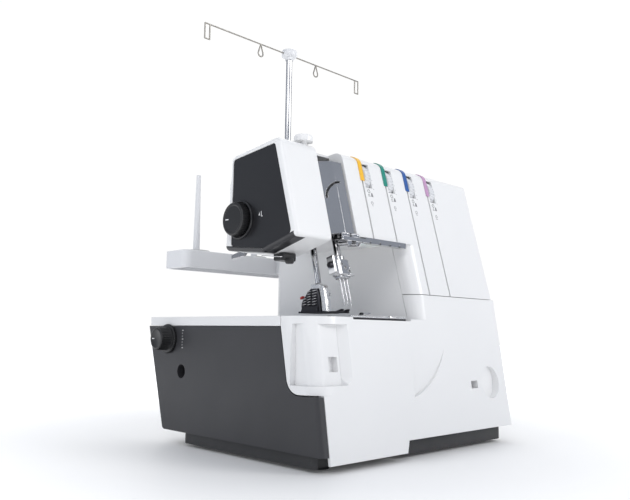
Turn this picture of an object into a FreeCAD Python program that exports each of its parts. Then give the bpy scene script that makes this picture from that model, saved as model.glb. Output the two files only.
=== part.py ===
import FreeCAD, Part
import math
import os
import re
import Sketcher

# A free-arm serger of the cover-stitch kind: three needles and a looper under the cloth plate, four
# thread paths over the front, a spool tray with a telescopic thread mast behind.
#
# Machine coordinates, in millimetres: x runs right from the base plate's left edge, y runs back from
# the base plate's front edge, z runs up from the table.  The row's frame has the same axes, and its
# origin is the centre of the overall box's bottom, centre_x and centre_y away.

SIZES = {
    # overall
    "centre_x": 162.5, "centre_y": 137.2,
    # base plate and feet
    "foot_radius": 9.0, "foot_height": 3.0, "base_long": 291.0, "base_deep": 198.0, "base_top": 15.5,
    # casings: the front is two leaning planes, y = reach + lean * z
    "skin": 2.5, "left_face": -4.0, "right_face": 296.0, "seam_gap": 0.6,
    "low_reach": -11.65, "low_lean": 0.151, "high_reach": -28.8, "high_lean": 0.26, "front_tilt": 14.574,
    "cover_foot": 7.0, "housing_foot": 18.0, "bed_top": 131.0, "bed_band": 9.0, "cover_seam": 157.0,
    "return_deep": 18.0, "top_front": 297.0, "top_rear": 275.0, "column_left": 150.0,
    "column_rear": 233.0, "bed_rear": 264.0, "rear_foot": 228.0, "column_round": 14.0,
    "arm_left": 76.0, "arm_under": 209.0, "arm_rear": 180.0,
    # looper cover
    "wing_rear": 44.0, "wing_foot": 63.5, "corner_small": 7.0, "corner_large": 36.0,
    "grip_right": 43.0, "grip_rear": 31.0, "grip_foot": 71.0, "grip_top": 124.0, "grip_deep": 6.0,
    "hinge_y": -2.5, "hinge_z": 21.0, "hinge_rod": 1.5, "running_gap": 0.05,
    # head
    "head_left": -6.0, "head_right": 39.0, "head_rear": 127.0, "head_foot": 202.0,
    "pressure_y": 103.5, "pressure_z": 223.0, "pressure_radius": 16.3, "pressure_out": 9.5,
    # thread slots and tension dials
    "slot_first": 100.5, "slot_step": 36.6, "slot_wide": 2.2, "slot_top": 273.0,
    "dial_radius": 16.5, "dial_wide": 9.0, "dial_y": 57.0, "dial_z": 273.5, "pin_radius": 2.0,
    # drive
    "shaft_radius": 6.0, "shaft_y": 118.0, "shaft_z": 100.0, "wheel_radius": 31.0,
    # spool tray and mast
    "tray_left": 25.0, "tray_right": 345.0, "tray_front": 240.0, "tray_rear": 285.0,
    "tray_low": 188.5, "tray_high": 208.5, "mast_x": 187.0, "mast_y": 251.0, "mast_radius": 5.2,
    "tube_radius": 4.3, "mast_join": 345.0, "mast_top": 484.0, "pin_first": 55.0, "pin_step": 88.0,
    "spool_pin_y": 262.0, "spool_pin_top": 301.0,
    # needle and presser bars: their middles cross the planes z = needle_z and z = presser_z
    "needle_x": 66.0, "needle_y": 40.0, "needle_z": 184.0, "needle_tilt": 15.0, "needle_radius": 3.5,
    "presser_x": 53.0, "presser_y": 61.0, "presser_z": 191.0, "presser_tilt": 12.0,
    "presser_radius": 3.2,
    # knobs on the bed's left side and the column's right side
    "feed_y": 222.0, "feed_z": 108.0, "feed_radius": 12.0, "feed_out": 16.0,
}

AXIS_PLANES = {"x": "YZ_Plane", "y": "XZ_Plane", "z": "XY_Plane"}

doc = FreeCAD.newDocument("serger")
sheet = doc.addObject("Spreadsheet::Sheet", "sizes")
for row, (alias, size) in enumerate(SIZES.items(), 1):
    sheet.set(f"A{row}", alias)
    sheet.set(f"B{row}", str(size))
    sheet.setAlias(f"B{row}", alias)
doc.recompute()

nodes = []
pins = []


# ---------------------------------------------------------------- sizes and expressions

def number(text):
    """The value of an expression of sheet aliases."""
    return float(sheet.evalExpression(str(text)))


def link(text):
    """The same expression, as another object writes it."""
    return re.sub(r"[a-z_]+", lambda word: word[0] if word[0] in ("tan", "cos", "sin", "deg")
                  else f"sizes.{word[0]}", str(text))


def bind(item, name, text):
    item.setExpression(name, link(text))


def low_front(height, inward=0):
    """How far back the lower front plane is at a height, moved inward."""
    return f"(low_reach + low_lean * ({height}) + ({inward}))"


def high_front(height, inward=0):
    """How far back the upper front plane is at a height, moved inward."""
    return f"(high_reach + high_lean * ({height}) + ({inward}))"


# ---------------------------------------------------------------- sketches

def fill_sketch(sketch, corners=(), circles=()):
    """One closed outline of straight lines and any number of circles, all bound to the sheet."""
    points = [FreeCAD.Vector(number(u), number(v), 0) for u, v in corners]
    count = len(points)
    for i in range(count):
        sketch.addGeometry(Part.LineSegment(points[i], points[(i + 1) % count]), False)
    for i in range(count):
        sketch.addConstraint(Sketcher.Constraint("Coincident", i, 2, (i + 1) % count, 1))
    for i, (u, v) in enumerate(corners):
        for kind, text in (("DistanceX", u), ("DistanceY", v)):
            place = sketch.addConstraint(Sketcher.Constraint(kind, i, 1, number(text)))
            bind(sketch, f"Constraints[{place}]", text)
    for i, (u, v, radius) in enumerate(circles, count):
        centre = FreeCAD.Vector(number(u), number(v), 0)
        sketch.addGeometry(Part.Circle(centre, FreeCAD.Vector(0, 0, 1), number(radius)), False)
        limits = (("DistanceX", (i, 3), u), ("DistanceY", (i, 3), v), ("Radius", (i,), radius))
        for kind, where, text in limits:
            place = sketch.addConstraint(Sketcher.Constraint(kind, *where, number(text)))
            bind(sketch, f"Constraints[{place}]", text)


def near(shape, point):
    """The number of the edge that passes nearest to a point."""
    spot = Part.Vertex(*[number(value) for value in point])
    gaps = [edge.distToShape(spot)[0] for edge in shape.Edges]
    return gaps.index(min(gaps)) + 1


# ---------------------------------------------------------------- PartDesign pieces

class Piece:
    """A PartDesign body, built from prisms along an axis, cylinders and rounded edges."""

    def __init__(self, label):
        self.body = doc.addObject("PartDesign::Body", label)
        self.label = label

    def sketch(self, axis, start, corners=(), circles=()):
        sketch = self.body.newObject("Sketcher::SketchObject", "outline")
        role = AXIS_PLANES[axis]
        plane = next(item for item in self.body.Origin.OriginFeatures if item.Role == role)
        sketch.AttachmentSupport = [(plane, "")]
        sketch.MapMode = "FlatFace"
        bind(sketch, "AttachmentOffset.Base.z", f"-({start})" if axis == "y" else start)
        fill_sketch(sketch, corners, circles)
        return sketch

    def sweep(self, axis, start, length, cut, corners=(), circles=()):
        profile = self.sketch(axis, start, corners, circles)
        kind = "PartDesign::Pocket" if cut else "PartDesign::Pad"
        feature = self.body.newObject(kind, "cut" if cut else "pad")
        feature.Profile = profile
        feature.Reversed = (axis != "y") if cut else (axis == "y")
        bind(feature, "Length", length)
        return self

    def prism(self, axis, start, length, *corners):
        return self.sweep(axis, start, length, False, corners=corners)

    def hollow(self, axis, start, length, *corners):
        return self.sweep(axis, start, length, True, corners=corners)

    def rod(self, axis, start, length, *circles):
        return self.sweep(axis, start, length, False, circles=circles)

    def bore(self, axis, start, length, *circles):
        return self.sweep(axis, start, length, True, circles=circles)

    def soften(self, kind, size, *points):
        """Rounds or chamfers the edges nearest to some points."""
        doc.recompute()
        tip = self.body.Tip
        feature = self.body.newObject(f"PartDesign::{kind}", kind.lower())
        names = sorted({f"Edge{near(tip.Shape, point)}" for point in points})
        feature.Base = (tip, names)
        bind(feature, "Radius" if kind == "Fillet" else "Size", size)
        return self

    def round(self, size, *points):
        return self.soften("Fillet", size, *points)

    def bevel(self, size, *points):
        return self.soften("Chamfer", size, *points)

    def done(self, at=(0, 0, 0), turn=(1, 0, 0), angle=0):
        return keep(self.body, self.label, at, turn, angle)


# ---------------------------------------------------------------- Part pieces

def box(left, front, low, wide, deep, tall):
    item = doc.addObject("Part::Box", "block")
    for name, text in zip(("Length", "Width", "Height"), (wide, deep, tall)):
        bind(item, name, text)
    for name, text in zip("xyz", (left, front, low)):
        bind(item, f"Placement.Base.{name}", text)
    return item


def cylinder(axis, at, radius, length):
    """A cylinder that starts at a point and runs along an axis, or along a direction."""
    item = doc.addObject("Part::Cylinder", "round")
    bind(item, "Radius", radius)
    bind(item, "Height", length)
    ways = {"x": (1, 0, 0), "y": (0, 1, 0), "z": (0, 0, 1)}
    way = FreeCAD.Vector(*[number(part) for part in ways.get(axis, axis)])
    item.Placement.Rotation = FreeCAD.Rotation(FreeCAD.Vector(0, 0, 1), way)
    for name, text in zip("xyz", at):
        bind(item, f"Placement.Base.{name}", text)
    return item


def extrusion(axis, start, length, *corners):
    """A prism along an axis, from a sketch that stands in no body."""
    sketch = doc.addObject("Sketcher::SketchObject", "outline")
    turns = {"x": (0.5, 0.5, 0.5, 0.5), "y": (math.sqrt(0.5), 0, 0, math.sqrt(0.5)), "z": (0, 0, 0, 1)}
    sketch.Placement.Rotation = FreeCAD.Rotation(*turns[axis])
    bind(sketch, f"Placement.Base.{axis}", start)
    fill_sketch(sketch, corners)
    item = doc.addObject("Part::Extrusion", "prism")
    item.Base = sketch
    item.DirMode = "Normal"
    item.Solid = True
    item.Reversed = axis == "y"
    bind(item, "LengthFwd", length)
    return item


def cut(base, *tools):
    for tool in tools:
        item = doc.addObject("Part::Cut", "cut")
        item.Base = base
        item.Tool = tool
        base = item
    return base


def fuse(*shapes):
    item = doc.addObject("Part::MultiFuse", "fused")
    item.Shapes = list(shapes)
    return item


def common(*shapes):
    item = doc.addObject("Part::MultiCommon", "common")
    item.Shapes = list(shapes)
    return item


def rounded(base, *edges):
    """Rounds edges, each given by a point near it and its radius at both ends."""
    doc.recompute()
    item = doc.addObject("Part::Fillet", "rounded")
    item.Base = base
    picks = {}
    for point, first, last in edges:
        picks[near(base.Shape, point)] = (number(first), number(last))
    item.Edges = [(index, *radii) for index, radii in picks.items()]
    return item


def together(*items):
    item = doc.addObject("Part::Compound", "group")
    item.Links = list(items)
    return item


def keep(item, label, at=(0, 0, 0), turn=(1, 0, 0), angle=0):
    """Names a finished piece and places it in the row's frame."""
    if item.TypeId in ("Part::Box", "Part::Cylinder"):
        item = together(item)
    item.Label = label
    item.Placement.Rotation = FreeCAD.Rotation(FreeCAD.Vector(*turn), number(angle))
    bind(item, "Placement.Base.x", f"({at[0]}) - centre_x")
    bind(item, "Placement.Base.y", f"({at[1]}) - centre_y")
    bind(item, "Placement.Base.z", f"{at[2]}")
    nodes.append(item)
    return item


# ---------------------------------------------------------------- base

def make_base():
    piece = Piece("base_plate")
    piece.prism("z", "foot_height", "base_top - foot_height",
                (0, 0), ("base_long", 0), ("base_long", "base_deep"), (0, "base_deep"))
    piece.round(10, (0, 0, 9), ("base_long", 0, 9), ("base_long", "base_deep", 9), (0, "base_deep", 9))
    piece.hollow("z", "foot_height + skin", "base_top",
                 (3, 11), ("base_long - 3", 11), ("base_long - 3", "base_deep - 3"),
                 (3, "base_deep - 3"))
    piece.hollow("z", 0, "base_top + 1", (3.5, -1), (112, -1), (112, 8), (3.5, 8))
    piece.prism("z", "base_top", 2.3, ("left_face + 3.2", 24), (291.5, 24),
                (291.5, "rear_foot - skin - 0.1"), ("left_face + 3.2", "rear_foot - skin - 0.1"))
    piece.hollow("z", "base_top", 10, (8, 23), (280, 23), (280, 190), (8, 190))
    piece.done()
    places = [(22, 20), ("base_long - 22", 20), (22, "base_deep - 20"),
              ("base_long - 22", "base_deep - 20")]
    feet = [cylinder("z", (x, y, 0), "foot_radius", "foot_height") for x, y in places]
    keep(together(*feet), "rubber_feet")


def make_frame():
    """The casting that every shaft, bar and casing is fixed to."""
    floor = "foot_height + skin"
    piece = Piece("frame_casting")
    piece.prism("z", floor, 5, (12, 26), (274, 26), (274, 180), (12, 180))
    for left, wide in ((161, 11), (262, 10)):
        piece.prism("x", left, wide, (52, floor), (190, floor), (190, 262), (62, 252), (52, 120))
    piece.prism("x", 40, 10, (52, floor), (150, floor), (150, 112), (52, 112))
    piece.prism("x", 50, 30, (52, floor), (60, floor), (60, 80), (52, 80))
    piece.prism("x", 74, 88, (76, 222), (112, 222), (112, 252), (76, 252))
    piece.prism("x", 47.2, 27.8, (high_front(214, 13), 214), (high_front(250, 13), 250), (112, 250),
                (112, 214))
    piece.prism("x", 50, 24, (112, 217), (132, 217), (132, 231), (112, 231))
    piece.hollow("x", 55.3, 6.4, (84, 225), (113, 225), (113, 251), (84, 251))
    piece.bore("x", 0, 290, ("shaft_y", "shaft_z", 9))
    piece.bore("x", 30, 150, (98, 236, 5.05))
    piece.bore("x", 40, 40, (126, 224, 3))
    piece.bore("y", 40, 30, (64, 62, 3))
    needle = cylinder((0, "sin(needle_tilt)", "cos(needle_tilt)"), ("needle_x", "needle_y", "needle_z"),
                      "needle_radius + running_gap", 110)
    presser = cylinder((0, "sin(presser_tilt)", "cos(presser_tilt)"),
                       ("presser_x", "presser_y", "presser_z"), "presser_radius + running_gap", 110)
    keep(cut(piece.body, needle, presser), "inner_frame")
    bushes = []
    shaft = ("shaft_y", "shaft_z")
    for left, wide in ((40, 10), (161, 11), (262, 10)):
        bush = cut(cylinder("x", (left, *shaft), 8.98, wide),
                   cylinder("x", (left, *shaft), "shaft_radius + running_gap", wide))
        bushes.append(bush)
    keep(together(*bushes), "shaft_bushes")


# ---------------------------------------------------------------- looper cover

def corner_radius(height, inward):
    return (f"corner_small + (({height}) - cover_foot) * (corner_large - corner_small)"
            f" / (bed_top - cover_foot) - {inward}")


def cover_form(inward, foot, rear):
    """The looper cover's outer form, or the same moved inward by a skin."""
    top = f"bed_top - {inward}"
    low = extrusion("x", f"left_face + {inward}", f"right_face - left_face - 2 * {inward}",
                    (low_front(foot, inward), foot), (low_front(top, inward), top), (rear, top),
                    (rear, foot))
    edge = (f"left_face + {inward}", low_front(60, inward), 60)
    low = rounded(low, (edge, corner_radius(foot, inward), corner_radius(top, inward)))
    start = "bed_top - 20" if inward == 0 else foot
    end = "cover_seam - seam_gap" if inward == 0 else "cover_seam + 4"
    back = 17.5 if inward == 0 else 40
    high = extrusion("x", f"column_left + {inward}", f"right_face - column_left - 2 * {inward}",
                     (low_front(start, inward), start), (low_front(end, inward), end),
                     (low_front(end, back), end), (low_front(start, back), start))
    edge = (f"column_left + {inward}", low_front(145, inward), 145)
    radius = f"column_round - {inward}"
    return low, rounded(high, (edge, radius, radius))


def grip_core(inward):
    """What is left inside the finger grip: two walls that follow the machine's front-left corner."""
    deep = f"grip_deep + {inward}"
    core = extrusion("x", f"left_face + {deep}", 90,
                     (low_front(40, deep), 40), (low_front(150, deep), 150), (80, 150), (80, 40))
    return rounded(core, ((f"left_face + {deep}", low_front(90, deep), 90), 12, 12))


def grip_space(more):
    """The space in front of the grip's walls.  Its right end runs out to a line up the front face."""
    right, foot = f"(grip_right + {more})", f"(grip_foot - {more})"
    tall = f"(grip_top - grip_foot + 2 * {more})"
    room = extrusion("z", foot, tall, (-20, -40), (90, -40), (90, f"grip_rear + {more}"),
                     (-20, f"grip_rear + {more}"))
    drop = "low_lean * 30"
    ramp = extrusion("z", foot, f"{tall} * {math.hypot(1, number('low_lean')):.6f}", (-20, -60),
                     (f"{right} + 58", -60), (f"{right} + 44", f"-26 - {drop}"),
                     (f"{right} - 9", f"5.6 + grip_deep * 0.6 - {drop}"), (f"{right} - 14", 16),
                     (f"{right} - 14", 90), (-20, 90))
    ramp.DirMode = "Custom"
    ramp.Dir = FreeCAD.Vector(0, number("low_lean"), 1)
    edge = (f"{right} + 17.5", f"(-26 + 5.6 + grip_deep * 0.6) / 2 - {drop}", foot)
    return common(room, rounded(ramp, (edge, f"9 + {more}", f"9 + {more}")))


def thumb_wedge(more):
    """A shallow thumb ramp: deepest along its arc, and flush with the front face at its top."""
    wedge = extrusion("x", 120, 70, (low_front(100, -6), 100), (low_front(103, more), 103),
                      (low_front(54, f"4.5 + {more}"), 54), (low_front(54, -6), 54))
    disc = cylinder("y", (108.4, -30, 141), f"87 + {more}", 80)
    side = extrusion("y", -30, 80, (f"126 - {more}", 40), (200, 40), (200, 110),
                     (f"135.5 - {more}", 110))
    return common(wedge, disc, side)


def thumb_dish(more):
    """A round dish whose floor falls away to the right, so that only a crescent of wall shows."""
    return cylinder((0.20, -0.97, 0.06), (264, f"1.6 + {more}", 65), f"17 + {more}", 30)


def lower_corner(inward, foot):
    """Below the wing the cover has a square left end: a shallow block over the rounded corner."""
    top = f"wing_foot - {inward}"
    deep = 4.5 if inward == 0 else 30
    return extrusion("x", f"5 + {inward}", f"40 - {inward}", (low_front(foot, inward), foot),
                     (low_front(top, inward), top), (low_front(top, deep), top),
                     (low_front(foot, deep), foot))


def make_looper_cover():
    outer = fuse(*cover_form(0, "cover_foot", "wing_rear"), lower_corner(0, "cover_foot"))
    outer = cut(outer, cut(grip_space(0), grip_core(0)), thumb_wedge(0), thumb_dish(0))
    inner = fuse(*cover_form("skin", 0, "wing_rear + 20"), lower_corner("skin", 0))
    inner = cut(inner, cut(grip_space("skin"), grip_core("skin")), thumb_wedge("skin"),
                thumb_dish("skin"))
    sockets = []
    for left, wide, low, tall, start in ((20, 11, 82.5, 13, -9), (227.5, 12, 60, 8, -9)):
        def block(more, deep):
            return extrusion("x", left - more, wide + 2 * more,
                             (low_front(low - more, start), low - more),
                             (low_front(low + tall + more, start), low + tall + more),
                             (low_front(low + tall + more, deep), low + tall + more),
                             (low_front(low - more, deep), low - more))
        inner = cut(inner, block(2, 14))
        sockets.append(block(0, 12))
    shell = cut(outer, inner, *sockets)
    wing = extrusion("x", -10, 9.4, (-30, -1), (-30, "wing_foot"), (33, "wing_foot"),
                     ("wing_rear", "bed_top - bed_band"), ("wing_rear", "bed_top + 1"),
                     (90, "bed_top + 1"), (90, -1))
    wing = rounded(wing, ((-5, 33, "wing_foot"), 15, 15))
    corner = box(-10, -30, -1, 15, 90, "wing_foot + 1")
    foot = extrusion("y", -30, 80, (105, -1), (112, "housing_foot"), (310, "housing_foot"), (310, -1))
    behind = extrusion("x", "column_left - 1", 200,
                       (low_front(-1, 17.5), -1), (low_front(170, 17.5), 170), (90, 170), (90, -1))
    beside = extrusion("x", "column_left - 1", "291.4 - column_left + 1",
                       (high_front(125, 17.5), 125), (high_front(160, 17.5), 160), (90, 160), (90, 125))
    flange = box(30, 17.5, 120, "column_left - 30", 60, 30)
    slit = box(51.5, -20, "bed_top - 2", 85, 60, 5)
    shell = cut(shell, wing, corner, foot, behind, beside, flange, slit)
    knuckles = []
    for left in (30, 110, 190, 250):
        eye = cylinder("x", (left, "hinge_y", "hinge_z"), 3.3, 14)
        rib = box(left, "hinge_y - 4.6", "hinge_z - 2", 14, 4.6, 4)
        knuckles += [eye, rib]
    shell = fuse(shell, *knuckles)
    rod = cylinder("x", (20, "hinge_y", "hinge_z"), "hinge_rod + running_gap", 260)
    keep(cut(shell, rod), "looper_cover")


def make_cover_hinge():
    keep(cylinder("x", (16, "hinge_y", "hinge_z"), "hinge_rod", 266), "cover_hinge_rod")
    brackets = []
    for left in (20, 272):
        eye = cylinder("x", (left, "hinge_y", "hinge_z"), 3, 6)
        arm = box(left, "hinge_y", "hinge_z - 2.4", 6, "18 - hinge_y", 4.9)
        leg = box(left, 13, "foot_height + skin", 6, 5, "hinge_z - foot_height - skin")
        bore = cylinder("x", (left, "hinge_y", "hinge_z"), "hinge_rod + running_gap", 6)
        brackets.append(cut(fuse(eye, arm, leg), bore))
    keep(together(*brackets), "cover_hinge_brackets")


# ---------------------------------------------------------------- bed

def make_bed():
    top = Piece("bed_top_plate")
    outline = [("left_face", "wing_rear + 0.8"), (30.8, "wing_rear + 0.8"), (30.8, 18.3),
               ("column_left - seam_gap", 18.3), ("column_left - seam_gap", "bed_rear"),
               ("left_face", "bed_rear")]
    top.prism("z", "bed_top - bed_band", "bed_band", *outline)
    top.round(8, ("left_face", "bed_rear", 126))
    top.hollow("z", "bed_top - bed_band - 1", "bed_band + 1 - skin",
               ("left_face + skin", "wing_rear + 3.3"), (33.3, "wing_rear + 3.3"), (33.3, 20.8),
               ("column_left - 3.1", 20.8), ("column_left - 3.1", "bed_rear - skin"),
               ("left_face + skin", "bed_rear - skin"))
    top.hollow("z", 100, 60, (36, 21), (102, 21), (102, 92), (36, 92))
    top.done()
    plate = Piece("needle_plate")
    plate.prism("z", "bed_top - skin", "skin + 0.4", (36.3, 21.3), (101.7, 21.3), (101.7, 91.7),
                (36.3, 91.7))
    plate.round(3, (36.3, 21.3, 130), (101.7, 21.3, 130), (101.7, 91.7, 130), (36.3, 91.7, 130))
    plate.hollow("z", 100, 60, (59, 21.9), (73, 21.9), (73, 29), (59, 29))
    for left in (48, 61, 71):
        plate.hollow("z", 100, 60, (left, 34), (left + 7, 34), (left + 7, 76), (left, 76))
    plate.done()
    side = Piece("bed_side_panel")
    foot = "housing_foot - 4"
    side.prism("x", "left_face", 3, (low_front(foot, 1.2), foot),
               (low_front("wing_foot - 0.9", 1.2), "wing_foot - 0.9"), (33.7, "wing_foot - 0.9"),
               ("wing_rear + 0.9", "bed_top - bed_band - 0.5"),
               ("bed_rear - 2.7", "bed_top - bed_band - 0.5"), ("rear_foot", foot))
    side.round(15.6, (-3, 33.7, "wing_foot - 0.9"))
    side.round(5, (-3, "rear_foot", foot))
    side.prism("x", "left_face", 8.4, (low_front(foot, 0.2), foot),
               (low_front("wing_foot - 0.9", 0.2), "wing_foot - 0.9"),
               (low_front("wing_foot - 0.9", 3.2), "wing_foot - 0.9"), (low_front(foot, 3.2), foot))
    side.round(4, ("left_face", low_front(40, 0.2), 40))
    side.rod("x", "left_face + 2", 14, (197, 75, 9.5))
    side.bore("x", "left_face - 1", 15, (197, 75, 7))
    side.bore("x", "left_face - 1", 10, ("feed_y", "feed_z", 3.1))
    side.done()


# ---------------------------------------------------------------- main casings

def top_at(back):
    """The height of the top, which falls slowly to the rear."""
    return f"(top_front - (({back}) - 50) * (top_front - top_rear) / (column_rear - 50))"


def make_main_housing():
    front_low = high_front("bed_top", "return_deep + 0.1")
    front_high = high_front("top_front", "return_deep + 0.1")
    inside = high_front(296, 8)
    piece = Piece("main_housing")
    piece.prism("x", "column_left", "291.5 - column_left", (front_low, "bed_top"),
                (front_high, top_at(front_high)), ("column_rear", "top_rear"),
                ("column_rear", "bed_top"))
    arm_front = high_front("arm_under", "return_deep + 0.1")
    piece.prism("x", "head_right + 0.6", "column_left - head_right + 1", (arm_front, "arm_under"),
                (front_high, top_at(front_high)), ("arm_rear", top_at("arm_rear")),
                ("arm_rear", "arm_under"))
    piece.round(9, (100, "arm_rear", "arm_under"), (100, "arm_rear", top_at("arm_rear")))
    piece.round(9, (200, "column_rear", "top_rear"))
    piece.hollow("x", "column_left + skin", 200, (high_front("bed_top", 8), "bed_top - 5"),
                 (inside, top_at(inside) + " - skin"), ("column_rear - skin", "top_rear - skin"),
                 ("column_rear - skin", "bed_top - 5"))
    piece.hollow("x", "head_right - 5", "column_left + skin + 1 - head_right + 5",
                 (high_front("arm_under", 8), "arm_under + skin"),
                 (inside, top_at(inside) + " - skin"),
                 ("arm_rear - skin", top_at("arm_rear") + " - skin"),
                 ("arm_rear - skin", "arm_under + skin"))
    piece.hollow("z", "arm_under - 5", "skin + 6", ("head_right - 1", 20), ("arm_left", 20),
                 ("arm_left", 96), (47.2, 96), (47.2, 172), ("head_right - 1", 172))
    piece.round("18 - skin", ("column_left + skin", "column_rear - skin", 180))
    piece.round(18, ("column_left", "column_rear", 180))
    piece.done()


def make_rear_cover():
    slope = "(bed_rear - rear_foot) / (bed_top - 15.5)"
    piece = Piece("rear_cover")
    piece.prism("x", "column_left", "291.5 - column_left", ("rear_foot - skin", 15.5),
                ("rear_foot", 15.5), ("bed_rear", "bed_top"), ("column_rear + 0.2", "bed_top"),
                ("column_rear + 0.2", "bed_top - skin"), ("bed_rear - skin * 1.3", "bed_top - skin"))
    end = "bed_top - bed_band - 0.5"
    reach = f"rear_foot + ({end} - 15.5) * {slope}"
    piece.prism("x", "left_face + 3.2", "column_left - left_face - 2.2", ("rear_foot - skin", 15.5),
                ("rear_foot", 15.5), (reach, end), (f"{reach} - skin", end))
    piece.done()


def make_right_cover():
    piece = Piece("right_side_cover")
    seam = high_front("top_front", "return_deep + 0.1")
    piece.prism("x", 291.7, "right_face - 291.7",
                (low_front("housing_foot", 18.1), "housing_foot"),
                (low_front("cover_seam", 18.1), "cover_seam"),
                (seam, top_at(seam)),
                ("column_rear", "top_rear"), ("column_rear", "bed_top"), ("bed_rear", "bed_top"),
                ("rear_foot + 0.6", "housing_foot"))
    piece.round(8, (294, "column_rear", "top_rear"), (294, "bed_rear", "bed_top"))
    piece.round(2.5, ("right_face", 150, top_at(150)), ("right_face", "column_rear", 200),
                ("right_face", 248, 70))
    piece.bore("x", 280, 40, ("shaft_y", "shaft_z", "shaft_radius + 0.6"))
    piece.bore("x", 280, 40, (50, 92, 3.1))
    piece.hollow("x", 280, 40, (196, 66), (212, 66), (212, 90), (196, 90))
    piece.hollow("x", 280, 40, (190, 32), (218, 32), (218, 54), (190, 54))
    piece.done()


def front_form(inward, back):
    """The upper front over the arm and the column, or the same moved inward by a skin."""
    foot = "cover_seam" if inward == 0 else "cover_seam - 8"
    low = f"arm_under + {inward}"
    right = f"right_face - {inward}"
    top = high_front("top_front", inward)
    rear = high_front("top_front", back)
    column = extrusion("x", f"column_left + {inward}", f"{right} - column_left - {inward}",
                       (high_front(foot, inward), foot), (high_front(225, inward), 225),
                       (high_front(225, back), 225), (high_front(foot, back), foot))
    column = rounded(column, ((f"column_left + {inward}", high_front(190, inward), 190),
                              14 - inward, 14 - inward),
                     ((right, high_front(190, inward), 190), 6 - inward, 6 - inward))
    arm = extrusion("x", f"arm_left + {inward}", f"{right} - arm_left - {inward}",
                    (high_front(low, inward), low), (top, f"top_front - {inward}"),
                    (rear, f"{top_at(rear)} - {inward}"), (high_front(low, back), low))
    arm = rounded(arm, ((120, top, f"top_front - {inward}"), 11 - inward, 11 - inward),
                  ((right, high_front(230, inward), 230), 6 - inward, 6 - inward))
    form = fuse(column, arm)
    form.Refine = True
    return form


def slot_at(index):
    return f"slot_first + {index} * slot_step"


def make_front_cover():
    shell = cut(front_form(0, 17.9), front_form(2.5, 40))
    for index in range(4):
        foot = "arm_under - 5" if index < 2 else "cover_seam - 5"
        shell = cut(shell, box(f"{slot_at(index)} - slot_wide / 2", -10, foot, "slot_wide", 66,
                               f"slot_top - ({foot})"))
        shell = cut(shell, box(f"{slot_at(index)} + 3.4", 20, "dial_z - 10", "dial_wide + 1.2", 36,
                               25.5))
    keep(shell, "front_cover")
    for index, colour in enumerate(("yellow", "green", "blue", "lilac")):
        keep(cut(tab_form(index, 2.7, 0.8), tab_form(index, 4, 0)), f"path_tab_{colour}")


def tab_form(index, half, proud):
    """A slice of the upper front and its round top edge, grown outward a little."""
    top = f"(top_front + {proud})"
    rear = 60 if proud else high_front("top_front", 17.9)
    foot = "slot_top - 3" if proud else "slot_top - 20"
    form = extrusion("x", f"{slot_at(index)} - {half}", 2 * half,
                     (high_front(foot, -proud), foot), (high_front(top, -proud), top),
                     (rear, f"{top_at(rear)} + {proud}"), (rear, foot))
    return rounded(form, ((number(slot_at(index)), high_front(top, -proud), top), 11 + proud, 11 + proud))


def make_dials():
    for index in range(4):
        piece = Piece(f"tension_dial_{index + 1}")
        piece.rod("x", 0, "dial_wide", (0, 0, "dial_radius"))
        piece.bore("x", -1, 20, (0, 0, "pin_radius + running_gap"))
        notches = [(f"dial_radius * cos({step} * 30)", f"dial_radius * sin({step} * 30)", 1.1)
                   for step in range(12)]
        piece.bore("x", -1, 20, *notches)
        piece.done(at=(f"{slot_at(index)} + 4", "dial_y", "dial_z"))
    pin = cylinder("x", ("slot_first - 5", "dial_y", "dial_z"), "pin_radius", 142)
    ends = [box("slot_first - 7", "dial_y - 4", "dial_z - 4", 2, 8, 24),
            box("slot_first + 137", "dial_y - 4", "dial_z - 4", 2, 8, 24)]
    pins.append(cut(fuse(pin, *ends), cut(front_form(0, 30), front_form(2.5, 40))))
    discs = []
    for index in range(4):
        for side in (-2.6, 1.6):
            discs.append(cylinder("x", (f"{slot_at(index)} + {side}", high_front(243, 14), 243), 8.5, 1))
    keep(together(*discs), "tension_discs")


# ---------------------------------------------------------------- head

HEAD_SIDE = ((high_front("head_foot"), "head_foot"), (high_front(297), "297"), ("head_rear - 7", "288"),
             ("head_rear", "195"), ("70", "189"))


def head_form(inward):
    """The head's casing, moved inward by a skin on every side but the right."""
    steps = ((inward, inward), (inward, f"-{inward}"), (f"-{inward}", f"-{inward}"),
             (f"-{inward}", inward), (0, inward))
    corners = [(f"{y} + {dy}", f"{z} + {dz}") for (y, z), (dy, dz) in zip(HEAD_SIDE, steps)]
    more = 0 if inward == 0 else 10
    form = extrusion("x", f"head_left + {inward}", f"head_right - head_left - {inward} + {more}",
                     *corners)
    marks = [(10, y, z) for y, z in corners]
    sizes = (4, 10, 5, 5, 12)
    rounds = [(mark, max(size - inward, 1), max(size - inward, 1))
              for mark, size in zip(marks, sizes)]
    return rounded(form, *rounds)


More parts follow.
